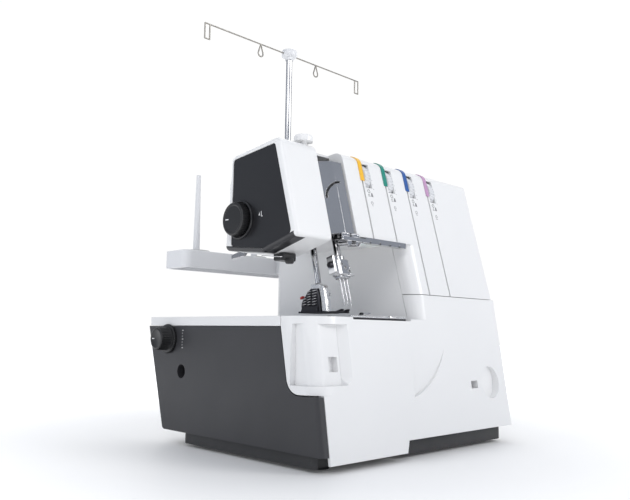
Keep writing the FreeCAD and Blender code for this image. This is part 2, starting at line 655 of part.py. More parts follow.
def make_head():
    shell = cut(head_form(0), head_form(2.5))
    shell = rounded(shell, (("head_left", 80, "292.9"), 4, 4),
                    (("head_left", high_front(250), 250), 4, 4))
    window = ((high_front("head_foot + 4", 5.5), "head_foot + 2.5"), (high_front(290, 8), "290.5"),
              ("head_rear - 10.6", "284"), ("head_rear - 10.2", "198.4"), ("70", "192.8"))
    opening = rounded(extrusion("x", "head_left - 5", 9, *window),
                      *[((-9, y, z), 4, 4) for y, z in window])
    shell = cut(shell, opening)
    keep(cut(shell, cylinder("z", (31, 56, 280), 3.3, 30)), "head_shell")
    inset = [(f"{y} + {dy}", f"{z} + {dz}") for (y, z), (dy, dz) in
             zip(window, ((0.3, 0.3), (0.2, -0.3), (-0.3, -0.3), (-0.3, 0.3), (0, 0.3)))]
    panel = Piece("head_side_panel")
    panel.prism("x", "head_left + 0.6", 3, *inset)
    panel.round(3.7, *[("head_left + 2", y, z) for y, z in inset])
    panel.bore("x", -20, 40, ("pressure_y", "pressure_z", 3.1))
    panel.done()
    knob = Piece("pressure_knob")
    knob.rod("x", "head_left - pressure_out", "pressure_out - 0.2", (0, 0, "pressure_radius"))
    knob.rod("x", "head_left - 1", 16, (0, 0, 3))
    knob.round(1.5, ("head_left - pressure_out", 0, "pressure_radius"))
    knob.done(at=(0, "pressure_y", "pressure_z"))
    button = Piece("release_button")
    button.rod("z", 298.4, 6.4, (0, 0, 9.4))
    button.rod("z", 284, 15, (0, 0, 3))
    button.round(2, (0, 9.4, 304.8))
    button.done(at=(31, 56, 0))


def make_take_up():
    """The bright folded cover in the gap between head and arm, and the thread lever behind it."""
    rear = "13 * cos(front_tilt)"
    cover = Piece("take_up_cover")
    cover.prism("z", -38, 75, (45, 22), (45, 8.5), (60.5, 0.6), (73, 0.6), (73, rear), (71.8, rear),
                (71.8, 1.8), (60.8, 1.8), (46.2, 9.2), (46.2, 22))
    turns = [180 - 9 * step for step in range(11)]
    arc = [(f"66 + 17.6 * cos({turn})", f"17.6 * sin({turn}) - 1.5") for turn in turns]
    arc += [(f"66 + 15.4 * cos({turn})", f"15.4 * sin({turn}) - 1.5") for turn in turns[::-1]]
    cover.hollow("y", -5, 16, *arc)
    cover.done(at=(0, high_front(248), 248), angle="-front_tilt")
    lever = Piece("take_up_lever")
    lever.rod("x", 56, 5, (0, 0, 6))
    lever.prism("x", 57, 3, (-3, 0), (3, 0), (2, 26), (-16, 30), (-16, 27), (-2, 23))
    lever.bore("x", 50, 20, (0, 0, 5))
    lever.done(at=(0, 98, 236))


def make_needle_group():
    tilt = {"at": ("needle_x", "needle_y", "needle_z"), "angle": "-needle_tilt"}
    bar = Piece("needle_bar")
    bar.rod("z", -10, 94, (0, 0, "needle_radius"))
    bar.done(**tilt)
    clamp = Piece("needle_clamp")
    clamp.prism("z", -17, 19, (-7.5, -6.5), (7.5, -6.5), (7.5, 6), (-7.5, 6))
    clamp.round(1.5, (-7.5, -6.5, -8), (7.5, -6.5, -8))
    clamp.bore("z", -10, 30, (0, 0, "needle_radius"))
    clamp.rod("x", 7, 5, (0, -6, 2.4), (0, -12, 2.4))
    clamp.done(**tilt)
    needles = []
    for across in (-4.6, 0, 4.6):
        shank = cylinder("z", (across, -1, -38), 0.8, 21)
        tip = doc.addObject("Part::Cone", "tip")
        bind(tip, "Radius1", 0.15)
        bind(tip, "Radius2", 0.8)
        bind(tip, "Height", 6)
        for name, text in zip("xyz", (across, -1, -44)):
            bind(tip, f"Placement.Base.{name}", text)
        needles.append(fuse(shank, tip))
    keep(together(*needles), "needles", **tilt)


def make_presser_group():
    tilt = {"at": ("presser_x", "presser_y", "presser_z"), "angle": "-presser_tilt"}
    bar = Piece("presser_bar")
    bar.rod("z", -28.3, 95.3, (0, 0, "presser_radius"))
    bar.done(**tilt)
    foot = Piece("presser_foot")
    foot.prism("x", 47, 10.4, (46, 138), (50, 160), (54, 162.5), (62, 162.5), (74, 149), (73, 138))
    foot.prism("z", 134.6, 3.4, (44, 74), (44, 19), (57.6, 17), (57.6, 40), (68, 40), (68, 74))
    foot.prism("x", 50, 7.6, (41.5, 137), (46.5, 160), (51, 160), (47, 137))
    foot.hollow("y", 10, 80, (43, 131), (47, 131), (43, 138.5))
    foot.done()
    lever = Piece("lifter_lever")
    lever.rod("x", 40.6, 6, (0, 0, 5))
    lever.prism("x", 41, 3.2, (-4, 0), (4, 0), (32, -22), (50, -26), (50, -30), (30, -28))
    lever.bore("x", 30, 30, (0, 0, 3.05))
    lever.done(at=(0, 126, 224))
    pins.append(cylinder("x", (40, 126, 224), 3, 34))
    guide = box(12, 62, 182, 18, 12, 12)
    plate = box(-4, 60, 187.8, 18, 14, 1.2)
    screw = cylinder("z", (20, 60, 179), 5.5, 7)
    keep(cut(fuse(guide, plate, screw), head_form(0)), "thread_cutter")


def make_thread_guides():
    strip = Piece("arm_thread_guides")
    strip.prism("x", 86, 62.5, (high_front(207, -1.4), 203.5), (high_front(207, 6), 203.5),
                (high_front(207, 6), "arm_under"), (high_front(207, -1.4), "arm_under"))
    for index in range(4):
        strip.hollow("y", 0, 60, (f"92 + {index} * 15", 202), (f"94 + {index} * 15", 202),
                     (f"94 + {index} * 15", 205.6), (f"92 + {index} * 15", 205.6))
    strip.prism("z", 203.5, 1.6, (50, 20), (87, 20), (87, 34), (50, 34))
    strip.rod("y", 21, 12, (60, 201.5, 3))
    strip.rod("y", 21, 12, (72, 201.5, 3))
    strip.done()
    keep(box(100, 40, "arm_under - 4", 26, 14, 4), "led_lamp")


# ---------------------------------------------------------------- bed mechanism

def make_feed_and_looper():
    dogs = Piece("feed_dogs")
    dogs.prism("z", 108, 8, (52, 44), (82, 44), (82, 66), (52, 66))
    for left in (49, 62, 72):
        dogs.prism("z", 116, 15.2, (left, 38), (left + 5, 38), (left + 5, 72), (left, 72))
    dogs.done()
    looper = Piece("looper")
    looper.rod("y", 20, 9, (0, 0, 6))
    looper.prism("y", 22, 5, (-4, 0), (4, 0), (6, 34), (-22, 50), (-24, 47), (-2, 32))
    looper.bore("y", 10, 40, (0, 0, 3.05))
    looper.done(at=(64, 0, 62))
    pins.append(cylinder("y", (64, 18, 62), 3, 42))


def make_drive():
    shaft = cylinder("x", (24, "shaft_y", "shaft_z"), "shaft_radius", 288)
    keep(shaft, "main_shaft")
    rocker = cylinder("x", (49, 98, 236), 5, 117)
    keep(rocker, "arm_shaft")
    wheel = Piece("handwheel")
    wheel.rod("x", 296.8, 18, (0, 0, "wheel_radius"))
    wheel.round(3, (314.8, 0, "wheel_radius"), (296.8, 0, "wheel_radius"))
    wheel.bore("x", 307, 20, (0, 0, "wheel_radius - 6"))
    wheel.rod("x", 306, 8, (0, 0, 11))
    wheel.bore("x", 280, 32, (0, 0, "shaft_radius"))
    wheel.done(at=(0, "shaft_y", "shaft_z"))
    pulley = cut(cylinder("x", (240, "shaft_y", "shaft_z"), 24, 11),
                 cylinder("x", (240, "shaft_y", "shaft_z"), "shaft_radius", 11))
    keep(pulley, "shaft_pulley")
    motor = Piece("motor")
    motor.rod("x", 172, 62, (0, 0, 25))
    motor.bore("x", 160, 80, (0, 0, 3.05))
    motor.done(at=(0, 152, 42))
    rotor = fuse(cylinder("x", (173, 152, 42), 3, 81), cylinder("x", (240, 152, 42), 6, 11))
    keep(rotor, "motor_pulley")
    keep(cut(belt_form(1.9), belt_form(0.35)), "drive_belt")
    keep(box(200, 60, "foot_height + skin + 5", 44, 40, 3), "speed_board")


def belt_form(more):
    """The two pulleys and the straight runs between them, as one stadium."""
    ends = ((number("shaft_y"), number("shaft_z"), 24 + more), (152.0, 42.0, 6 + more))
    (first_y, first_z, first_r), (last_y, last_z, last_r) = ends
    gap = math.hypot(last_y - first_y, last_z - first_z)
    along = math.atan2(last_z - first_z, last_y - first_y)
    open_angle = math.acos((first_r - last_r) / gap)
    corners = []
    for side, order in ((1, ends), (-1, ends[::-1])):
        for y, z, radius in order:
            angle = along + side * open_angle
            corners.append((y + radius * math.cos(angle), z + radius * math.sin(angle)))
    runs = extrusion("x", 241, 9, *corners)
    rounds = [cylinder("x", (241, y, z), radius, 9) for y, z, radius in ends]
    return fuse(runs, *rounds)


# ---------------------------------------------------------------- knobs and sockets

def make_side_controls():
    knob = Piece("differential_feed_knob")
    knob.rod("x", "left_face - 3.2", 3, (0, 0, "feed_radius + 3.5"))
    knob.rod("x", "left_face - feed_out", "feed_out - 3", (0, 0, "feed_radius"))
    knob.rod("x", "left_face - 1", 14, (0, 0, 3))
    knob.bevel(1.2, ("left_face - feed_out", 0, "feed_radius"))
    knob.done(at=(0, "feed_y", "feed_z"))
    dial = Piece("stitch_length_dial")
    dial.rod("x", 296.3, 9, (0, 0, 14))
    dial.rod("x", 286, 12, (0, 0, 3))
    dial.bevel(1.5, (305.3, 0, 14))
    dial.done(at=(0, 50, 92))
    rocker = Piece("power_switch")
    rocker.prism("y", 197, 14, (290, -11), (296.4, -11), (298.4, 0), (296.4, 11), (290, 11))
    rocker.bore("y", 190, 30, (293, 0, "1.5 + running_gap"))
    rocker.done(at=(0, 0, 78))
    pins.append(cylinder("y", (293, 196, 78), 1.5, 16))
    inlet = Piece("power_inlet")
    inlet.prism("x", 282, 14.6, (190.3, 32.3), (217.7, 32.3), (217.7, 53.7), (190.3, 53.7))
    inlet.hollow("x", 286, 20, (193, 36), (215, 36), (215, 50), (193, 50))
    inlet.rod("x", 285, 8, (197, 43, 1.2), (204, 43, 1.2), (211, 43, 1.2))
    inlet.done()


def make_thread_stand():
    tray = Piece("spool_tray")
    tray.prism("z", "tray_low", "tray_high - tray_low", ("tray_left", "tray_front"),
               ("tray_right", "tray_front"), ("tray_right", "tray_rear"), ("tray_left", "tray_rear"))
    tray.round(10, ("tray_left", "tray_front", 200), ("tray_left", "tray_rear", 200),
               ("tray_right", "tray_front", 200), ("tray_right", "tray_rear", 200))
    tray.round(1.5, (150, "tray_front", "tray_high"))
    tray.hollow("z", "tray_low - 1", "tray_high - tray_low + 1 - skin", ("tray_left + 7", "tray_front + skin"),
                ("tray_right - 7", "tray_front + skin"), ("tray_right - 7", "tray_rear - skin"),
                ("tray_left + 7", "tray_rear - skin"))
    tray.prism("y", "column_rear", "tray_front - column_rear + 1", (162, 189), (284, 189), (284, 207),
               (162, 207))
    tray.rod("z", "tray_low + 1", "tray_high - tray_low", ("mast_x", "mast_y", 9))
    tray.bore("z", "tray_low + 3", 60, ("mast_x", "mast_y", "mast_radius + 0.02"))
    tray.done()
    spools = []
    for index in range(4):
        place = (f"pin_first + {index} * pin_step", "spool_pin_y", "tray_high")
        pin = doc.addObject("Part::Cone", "pin")
        for name, text in (("Radius1", 4.0), ("Radius2", 2.6), ("Height", "spool_pin_top - tray_high")):
            bind(pin, name, text)
        for name, text in zip("xyz", place):
            bind(pin, f"Placement.Base.{name}", text)
        spools.append(fuse(pin, cylinder("z", place, 7, 2.5)))
    keep(together(*spools), "spool_pins")
    at_mast = ("mast_x", "mast_y")
    lower = cut(cylinder("z", (*at_mast, "tray_low + 3"), "mast_radius", "mast_join - tray_low - 3"),
                cylinder("z", (*at_mast, "tray_low + 2"), "tube_radius + 0.06", 200))
    keep(lower, "mast_lower_tube")
    keep(cylinder("z", (*at_mast, "mast_join - 22"), "tube_radius", "mast_top - mast_join + 22"),
         "mast_upper_tube")
    cap = Piece("mast_cap")
    cap.rod("z", "mast_top", 9, (0, 0, 10.5))
    cap.rod("z", "mast_top - 10", 11, (0, 0, 7))
    cap.bore("z", "mast_top - 20", 20.02, (0, 0, "tube_radius + 0.02"))
    cap.bore("x", -20, 40, (0, "mast_top + 3", 0.92))
    cap.round(3, (0, 10.5, "mast_top + 9"))
    cap.done(at=("mast_x", "mast_y", 0))
    wire = 0.9
    bar_z = "mast_top + 3"
    parts = [cylinder("x", (-138, 0, bar_z), wire, 276)]
    for middle in (-138, 130.8):
        for across in (0, 7.2):
            parts.append(cylinder("z", (middle + across, 0, f"{bar_z} - 19"), wire, 19))
        parts.append(cylinder("x", (middle, 0, f"{bar_z} - 19"), wire, 7.2))
        parts += [ball(middle + across, f"{bar_z} - {drop}", wire) for across in (0, 7.2)
                  for drop in (0, 19)]
    for middle in (-50, 50):
        loop = doc.addObject("Part::Torus", "loop")
        bind(loop, "Radius1", 4)
        bind(loop, "Radius2", wire)
        loop.Placement.Rotation = FreeCAD.Rotation(FreeCAD.Vector(1, 0, 0), 90)
        bind(loop, "Placement.Base.x", middle)
        bind(loop, "Placement.Base.z", f"{bar_z} - 12.5")
        parts.append(loop)
        for side in (-1, 1):
            lean = math.asin(4 / 12.5)
            foot = (middle + side * 4 * math.cos(lean), 0, f"{bar_z} - 12.5 + {4 * math.sin(lean)}")
            parts.append(cylinder((-side * math.sin(lean), 0, math.cos(lean)), foot, wire,
                                  12.5 * math.cos(lean)))
    keep(fuse(*parts), "thread_guide_bar", at=("mast_x", "mast_y", 0))


def ball(across, height, radius):
    item = doc.addObject("Part::Sphere", "ball")
    bind(item, "Radius", radius)
    bind(item, "Placement.Base.x", across)
    bind(item, "Placement.Base.z", height)
    return item


def make_screws():
    screws = [cylinder("y", (x, "column_rear", z), 3.4, 1.2)
              for x in (172, 278) for z in (150, 250)]
    screws += [cylinder("x", ("right_face", y, z), 3.4, 0.9)
               for y, z in ((60, 40), (222, 250), (222, 150), (100, 270))]
    keep(together(*screws), "casing_screws")
    keep(together(*pins), "pivot_pins")


for make in (make_base, make_frame, make_looper_cover, make_cover_hinge, make_bed, make_main_housing,
             make_rear_cover, make_right_cover, make_front_cover, make_dials, make_head, make_take_up,
             make_needle_group, make_presser_group, make_thread_guides, make_feed_and_looper,
             make_drive, make_side_controls, make_thread_stand, make_screws):
    make()
    doc.recompute()

for item in doc.Objects:
    if {"Invalid", "Error"} & set(item.State):
        raise RuntimeError(f"{item.Name} ({item.Label}) failed: {item.State}")
    if item.TypeId == "PartDesign::Pocket" and item.Shape.Volume >= item.BaseFeature.Shape.Volume:
        raise RuntimeError(f"{item.Name} of {item.getParentGeoFeatureGroup().Label} cuts nothing")
for item in nodes:
    if item.Shape.isNull() or not item.Shape.isValid() or item.Shape.Volume <= 0:
        raise RuntimeError(f"{item.Label} has no valid shape")

os.makedirs("parts", exist_ok=True)
for item in nodes:
    item.Shape.exportStep(os.path.join("parts", f"{item.Label}.step"))
    print(f"{item.Label:24s} {len(item.Shape.Solids)} solids {item.Shape.Volume / 1000:9.2f} cm3")
print(len(nodes), "pieces")
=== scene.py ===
"""The looks of the overlock serger machine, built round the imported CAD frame.

Lengths in the tables below are millimetres in machine coordinates, the ones part.py uses: x from the
base plate's left edge, y from its front edge, z from the table.  at() turns them into the row's frame.
"""
import math

import bmesh
import bpy
from mathutils import Matrix, Vector


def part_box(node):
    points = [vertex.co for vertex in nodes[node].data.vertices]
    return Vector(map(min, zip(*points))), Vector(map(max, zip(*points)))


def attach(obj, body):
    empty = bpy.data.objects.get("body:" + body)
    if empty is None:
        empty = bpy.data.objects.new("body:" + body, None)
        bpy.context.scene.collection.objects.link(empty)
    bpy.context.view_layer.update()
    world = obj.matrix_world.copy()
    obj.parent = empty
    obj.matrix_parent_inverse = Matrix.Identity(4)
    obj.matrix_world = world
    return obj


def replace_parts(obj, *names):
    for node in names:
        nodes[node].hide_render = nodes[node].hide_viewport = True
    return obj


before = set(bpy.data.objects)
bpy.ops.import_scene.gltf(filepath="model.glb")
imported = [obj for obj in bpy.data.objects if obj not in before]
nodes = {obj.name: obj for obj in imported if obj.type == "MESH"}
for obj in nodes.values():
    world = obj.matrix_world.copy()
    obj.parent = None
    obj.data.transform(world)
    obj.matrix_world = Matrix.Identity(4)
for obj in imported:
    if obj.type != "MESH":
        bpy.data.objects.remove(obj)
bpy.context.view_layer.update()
MM = 0.001

# The bed's left face is at x = -4 and the tray's rear face at y = 285 in machine coordinates.
ORIGIN = Vector((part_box("bed_top_plate")[0].x + 4 * MM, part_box("spool_tray")[1].y - 285 * MM, 0))
LEAN = 0.26                     # the upper front plane: y = HIGH_REACH + LEAN * z
HIGH_REACH = -28.8
SLOTS = [100.5 + 36.6 * index for index in range(4)]
MAST = (187, 251)               # the thread stand's x and y
MACHINE = "machine"


def at(x, y, z):
    return ORIGIN + Vector((x, y, z)) * MM


def on_front(x, z):
    """A point on the upper front plane."""
    return at(x, HIGH_REACH + LEAN * z, z)


# ---------------------------------------------------------------- materials

NOISE_SPAN = (0.3, 0.7)         # the part of a noise's range that a look is spread over
METAL_EDGE = 0.0003             # metres, how wide the shader softens the edges of metal


class Surface:
    """A node material with short ways to add the usual detail."""

    def __init__(self, name, color, rough, metal=0.0, coat=0.0, coat_rough=0.1, spec=0.5):
        self.material = bpy.data.materials.new(name)
        self.material.use_nodes = True
        self.tree = self.material.node_tree
        self.shader = self.tree.nodes["Principled BSDF"]
        self.color, self.rough = color, rough
        self.set("Base Color", (*color, 1))
        self.set("Roughness", rough)
        self.set("Metallic", metal)
        self.set("Specular IOR Level", spec)
        if coat:
            self.set("Coat Weight", coat)
            self.set("Coat Roughness", coat_rough)
        self.place = self.node("ShaderNodeTexCoord").outputs["Object"]
        self.normal = None

    def set(self, socket, value):
        self.shader.inputs[socket].default_value = value

    def node(self, kind, **values):
        item = self.tree.nodes.new(kind)
        for name, value in values.items():
            setattr(item, name, value)
        return item

    def join(self, source, target):
        self.tree.links.new(source, target)

    def stretch(self, scale):
        """The object's coordinates, scaled by axis."""
        item = self.node("ShaderNodeMapping")
        item.inputs["Scale"].default_value = scale
        self.join(self.place, item.inputs["Vector"])
        return item.outputs["Vector"]

    def noise(self, scale, detail=2.0, rough=0.5, place=None):
        item = self.node("ShaderNodeTexNoise")
        item.inputs["Scale"].default_value = scale
        item.inputs["Detail"].default_value = detail
        item.inputs["Roughness"].default_value = rough
        self.join(place or self.place, item.inputs["Vector"])
        return item.outputs["Fac"]

    def cells(self, scale):
        item = self.node("ShaderNodeTexVoronoi")
        item.inputs["Scale"].default_value = scale
        self.join(self.place, item.inputs["Vector"])
        return item.outputs["Distance"]

    def remap(self, source, low, high):
        item = self.node("ShaderNodeMapRange")
        for name, value in zip(("From Min", "From Max", "To Min", "To Max"), (*NOISE_SPAN, low, high)):
            item.inputs[name].default_value = value
        self.join(source, item.inputs["Value"])
        return item.outputs["Result"]

    def vary_color(self, source, first, last):
        ramp = self.node("ShaderNodeValToRGB")
        for element, place, color in zip(ramp.color_ramp.elements, NOISE_SPAN, (first, last)):
            element.position = place
            element.color = (*color, 1)
        self.join(source, ramp.inputs["Fac"])
        self.join(ramp.outputs["Color"], self.shader.inputs["Base Color"])
        return ramp.outputs["Color"]

    def vary_rough(self, source, low, high):
        self.join(self.remap(source, low, high), self.shader.inputs["Roughness"])

    def bump(self, height, depth, strength=1.0):
        item = self.node("ShaderNodeBump")
        item.inputs["Distance"].default_value = depth
        item.inputs["Strength"].default_value = strength
        self.join(height, item.inputs["Height"])
        if self.normal:
            self.join(self.normal, item.inputs["Normal"])
        self.normal = item.outputs["Normal"]
        self.join(self.normal, self.shader.inputs["Normal"])
        return self

    def soft_edges(self, radius):
        """Catches light along the edges as a moulded or deburred edge does."""
        item = self.node("ShaderNodeBevel", samples=6)
        item.inputs["Radius"].default_value = radius
        self.normal = item.outputs["Normal"]
        self.join(self.normal, self.shader.inputs["Normal"])
        return self


def moulded(name, color, rough, grain=0.00002, grain_scale=2600, tint=0.96, edge=0.0005, coat=0.0):
    """Injection-moulded plastic: fine grain, faint tone drift and soft edges."""
    surface = Surface(name, color, rough, coat=coat, coat_rough=0.12)
    drift = surface.noise(14, 3)
    surface.vary_color(drift, [value * tint for value in color], color)
    surface.soft_edges(edge)
    if grain:
        surface.bump(surface.noise(grain_scale, 1), grain, 0.6)
    surface.bump(surface.noise(30, 1), 0.00002, 0.25)
    surface.vary_rough(surface.noise(25, 2, 0.5), rough * 0.93, rough * 1.08)
    return surface


def metal(name, color, rough, streak=(1, 1, 40), depth=0.000004):
    """Plated or ground metal, with fine lines across the streak direction."""
    surface = Surface(name, color, rough, metal=1.0)
    surface.soft_edges(METAL_EDGE)
    if depth:
        surface.bump(surface.noise(900, 3, 0.6, surface.stretch(streak)), depth, 0.5)
    surface.vary_rough(surface.noise(160, 4, 0.65), rough * 0.85, rough * 1.25)
    surface.vary_color(surface.noise(30, 3), [value * 0.93 for value in color], color)
    return surface


white = moulded("white_plastic", (0.80, 0.80, 0.80), 0.30, grain=0, tint=0.99, coat=0.2)
anthracite = moulded("anthracite_plastic", (0.033, 0.033, 0.037), 0.42, grain=0.00005, tint=0.86)
piano = moulded("black_gloss_plastic", (0.010, 0.010, 0.012), 0.30, tint=0.8, coat=0.15)
knob_black = moulded("knob_plastic", (0.012, 0.012, 0.013), 0.36, grain=0.00003, tint=0.8)
base_black = moulded("base_plastic", (0.030, 0.030, 0.032), 0.5, grain=0.00008, grain_scale=1500, tint=0.85)
pale = moulded("pale_grey_plastic", (0.72, 0.725, 0.74), 0.38, grain=0, tint=0.98)
mid_grey = moulded("mid_grey_plastic", (0.17, 0.17, 0.18), 0.42, tint=0.92)
dial_white = moulded("dial_plastic", (0.66, 0.67, 0.69), 0.3, grain=0, tint=0.97, edge=0.0003)
opal = moulded("lamp_cover_plastic", (0.88, 0.88, 0.85), 0.35)
opal.set("Subsurface Weight", 0.2)
yellow = moulded("yellow_plastic", (0.90, 0.50, 0.02), 0.28, coat=0.3)
green = moulded("green_plastic", (0.0, 0.24, 0.18), 0.28, coat=0.3)
blue = moulded("blue_plastic", (0.012, 0.09, 0.34), 0.28, coat=0.3)
lilac = moulded("lilac_plastic", (0.52, 0.30, 0.50), 0.28, coat=0.3)
chrome = metal("polished_chrome", (0.60, 0.60, 0.61), 0.12, depth=0)
satin = metal("satin_chrome", (0.80, 0.80, 0.80), 0.24, depth=0.000001)
wire_steel = metal("drawn_steel_wire", (0.30, 0.285, 0.26), 0.3, depth=0.000001)
steel = metal("ground_steel", (0.42, 0.42, 0.43), 0.28, streak=(40, 1, 1), depth=0.000002)
dark_steel = metal("blued_steel", (0.05, 0.05, 0.056), 0.32)
bronze = metal("sintered_bronze", (0.42, 0.27, 0.12), 0.42)
casting = metal("cast_aluminium", (0.45, 0.45, 0.46), 0.5, streak=(1, 1, 1), depth=0.00012)
casting.bump(casting.cells(420), 0.0001, 0.6)
rubber = Surface("foot_rubber", (0.022, 0.022, 0.022), 0.75)
rubber.bump(rubber.noise(900, 3), 0.00008, 0.6).vary_rough(rubber.noise(80, 3), 0.65, 0.85)
belt = Surface("belt_rubber", (0.018, 0.018, 0.018), 0.7)
belt.bump(belt.noise(300, 2, 0.5, belt.stretch((1, 6, 6))), 0.0002, 0.7)
board = moulded("circuit_board", (0.01, 0.10, 0.04), 0.4)
paint = moulded("motor_paint", (0.05, 0.05, 0.055), 0.45)
felt = Surface("felt", (0.62, 0.62, 0.6), 0.95)
felt.set("Sheen Weight", 0.4)
felt.bump(felt.noise(2200, 4, 0.75), 0.0004, 1.0)
felt.vary_color(felt.noise(700, 4, 0.7), (0.5, 0.5, 0.49), (0.7, 0.7, 0.68))
print_grey = Surface("printed_grey", (0.20, 0.20, 0.21), 0.45)
print_grey.vary_color(print_grey.noise(400, 3), (0.17, 0.17, 0.18), (0.24, 0.24, 0.25))
print_white = Surface("printed_white", (0.75, 0.75, 0.75), 0.45)
print_white.vary_color(print_white.noise(400, 3), (0.68, 0.68, 0.68), (0.8, 0.8, 0.8))


def head_shell_surface():
    """White, with the dark side panel's colour carried round under the head's left lower edge."""
    surface = moulded("head_plastic", (0.80, 0.80, 0.80), 0.30, grain=0, tint=0.99, coat=0.2)
    split = surface.node("ShaderNodeSeparateXYZ")
    surface.join(surface.place, split.inputs[0])

    def math_node(kind, first, second):
        item = surface.node("ShaderNodeMath", operation=kind)
        for socket, value in zip(item.inputs, (first, second)):
            if isinstance(value, (int, float)):
                socket.default_value = value
            else:
                surface.join(value, socket)
        return item.outputs[0]

    def line(y0, z0, slope):
        """Height of a line that passes through (y0, z0) in machine coordinates."""
        start = at(0, y0, z0)
        back = math_node("SUBTRACT", split.outputs["Y"], start.y)
        return math_node("ADD", math_node("MULTIPLY", back, slope), start.z)

    under = math_node("MAXIMUM", line(23.7, 202, -0.2808), line(70, 189, 0.105))
    below = math_node("LESS_THAN", split.outputs["Z"], math_node("ADD", under, 0.0047))
    left = math_node("LESS_THAN", split.outputs["X"], at(8.5, 0, 0).x)
    behind = math_node("GREATER_THAN", split.outputs["Y"], at(0, 27.5, 0).y)
    mask = math_node("MULTIPLY", math_node("MULTIPLY", below, left), behind)
    mix = surface.node("ShaderNodeMix", data_type="RGBA")
    surface.join(mask, mix.inputs["Factor"])
    old = surface.shader.inputs["Base Color"].links[0].from_socket
    surface.join(old, mix.inputs[6])
    mix.inputs[7].default_value = (0.018, 0.018, 0.021, 1)
    surface.join(mix.outputs[2], surface.shader.inputs["Base Color"])
    return surface


head_white = head_shell_surface()

CAD_LOOKS = {
    white: "looper_cover bed_top_plate main_housing rear_cover right_side_cover front_cover "
           "release_button",
    head_white: "head_shell",
    anthracite: "bed_side_panel",
    piano: "head_side_panel",
    knob_black: "pressure_knob differential_feed_knob",
    base_black: "base_plate",
    rubber: "rubber_feet",
    casting: "inner_frame",
    bronze: "shaft_bushes",
    steel: "cover_hinge_rod cover_hinge_brackets main_shaft arm_shaft take_up_lever tension_discs "
           "pivot_pins feed_dogs looper shaft_pulley motor_pulley lifter_lever",
    chrome: "needle_plate needle_clamp needles needle_bar presser_bar take_up_cover mast_upper_tube "
            "mast_lower_tube arm_thread_guides casing_screws presser_foot",
    wire_steel: "thread_guide_bar",
    yellow: "path_tab_yellow", green: "path_tab_green", blue: "path_tab_blue", lilac: "path_tab_lilac",
    dial_white: "tension_dial_1 tension_dial_2 tension_dial_3 tension_dial_4 stitch_length_dial",
    mid_grey: "handwheel thread_cutter power_switch power_inlet",
    pale: "spool_tray spool_pins mast_cap",
    opal: "led_lamp",
    paint: "motor",
    belt: "drive_belt",
    board: "speed_board",
}


def dress_cad():
    """Gives each CAD node its material and smooth shading that breaks at real edges."""
    for surface, names in CAD_LOOKS.items():
        for name in names.split():
            item = nodes[name]
            item.data.materials.clear()
            item.data.materials.append(surface.material)
            for polygon in item.data.polygons:
                polygon.material_index = 0
                polygon.use_smooth = True
            if item.data.has_custom_normals:
                bpy.context.view_layer.objects.active = item
                bpy.ops.mesh.customdata_custom_splitnormals_clear()
            weld = item.modifiers.new("weld", "WELD")
            weld.merge_threshold = 2e-6
            split = item.modifiers.new("edges", "EDGE_SPLIT")
            split.split_angle = math.radians(24)
            split.use_edge_sharp = False
            item.modifiers.new("normals", "WEIGHTED_NORMAL").keep_sharp = True


# ---------------------------------------------------------------- mesh helpers

def finish_piece(name, mesh, surface, body, smooth=35):
    item = bpy.data.objects.new(name, mesh)
    bpy.context.scene.collection.objects.link(item)
    mesh.materials.append(surface.material)
    if smooth:
        for polygon in mesh.polygons:
            polygon.use_smooth = True
        mesh.set_sharp_from_angle(angle=math.radians(smooth))
    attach(item, body)
    return item


def new_mesh(name, build):
    """A mesh made by a function that fills a bmesh."""
    work = bmesh.new()
    build(work)
    bmesh.ops.remove_doubles(work, verts=work.verts, dist=1e-7)
    bmesh.ops.recalc_face_normals(work, faces=work.faces)
    mesh = bpy.data.meshes.new(name)
    work.to_mesh(mesh)
    work.free()
    return mesh


def pose(origin, axis="Z", turn=0.0):
    """A matrix that takes a piece's own Z to an axis, "Y", "Z" or a vector, at a point."""
    way = Vector({"Y": (0, 1, 0), "Z": (0, 0, 1)}.get(axis, axis))
    turned = Vector((0, 0, 1)).rotation_difference(way.normalized()).to_matrix().to_4x4()
    return Matrix.Translation(origin) @ turned @ Matrix.Rotation(turn, 4, "Z")


def lathe(work, profile, where, count=64, wave=None):
    """Turns (radius, height) points, in mm, round Z.  wave(angle, radius) may ripple the radius."""
    rings = []
    for radius, height in profile:
        if radius <= 0:
            rings.append([work.verts.new(where @ Vector((0, 0, height * MM)))])
            continue
        ring = []
        for step in range(count):
            angle = 2 * math.pi * step / count
            reach = (wave(angle, radius) if wave else radius) * MM
            ring.append(work.verts.new(where @ Vector((reach * math.cos(angle),
                                                       reach * math.sin(angle), height * MM))))
        rings.append(ring)
    for low, high in zip(rings, rings[1:]):
        for step in range(count):
            after = (step + 1) % count
            if len(low) == 1 and len(high) == 1:
                break
            if len(low) == 1:
                work.faces.new((low[0], high[step], high[after]))
            elif len(high) == 1:
                work.faces.new((low[step], high[0], low[after]))
            else:
                work.faces.new((low[step], high[step], high[after], low[after]))


def prism(work, outline, low, high, where, edge=0.0):
    """A prism from an (x, y) outline in mm, with a small chamfer round both ends."""
    def ring(height, inset):
        centre = Vector((sum(p[0] for p in outline), sum(p[1] for p in outline))) / len(outline)
        points = []
        for x, y in outline:
            away = Vector((x, y)) - centre
            reach = max(away.length - inset, 0.01) / max(away.length, 0.01)
            spot = centre + away * reach
            points.append(work.verts.new(where @ Vector((spot.x * MM, spot.y * MM, height * MM))))
        return points
    levels = [(low, edge), (low + edge, 0), (high - edge, 0), (high, edge)] if edge else \
        [(low, 0), (high, 0)]
    rings = [ring(*level) for level in levels]
    count = len(outline)
    for first, second in zip(rings, rings[1:]):
        for step in range(count):
            after = (step + 1) % count
            work.faces.new((first[step], first[after], second[after], second[step]))
    work.faces.new(rings[0][::-1])
    work.faces.new(rings[-1])


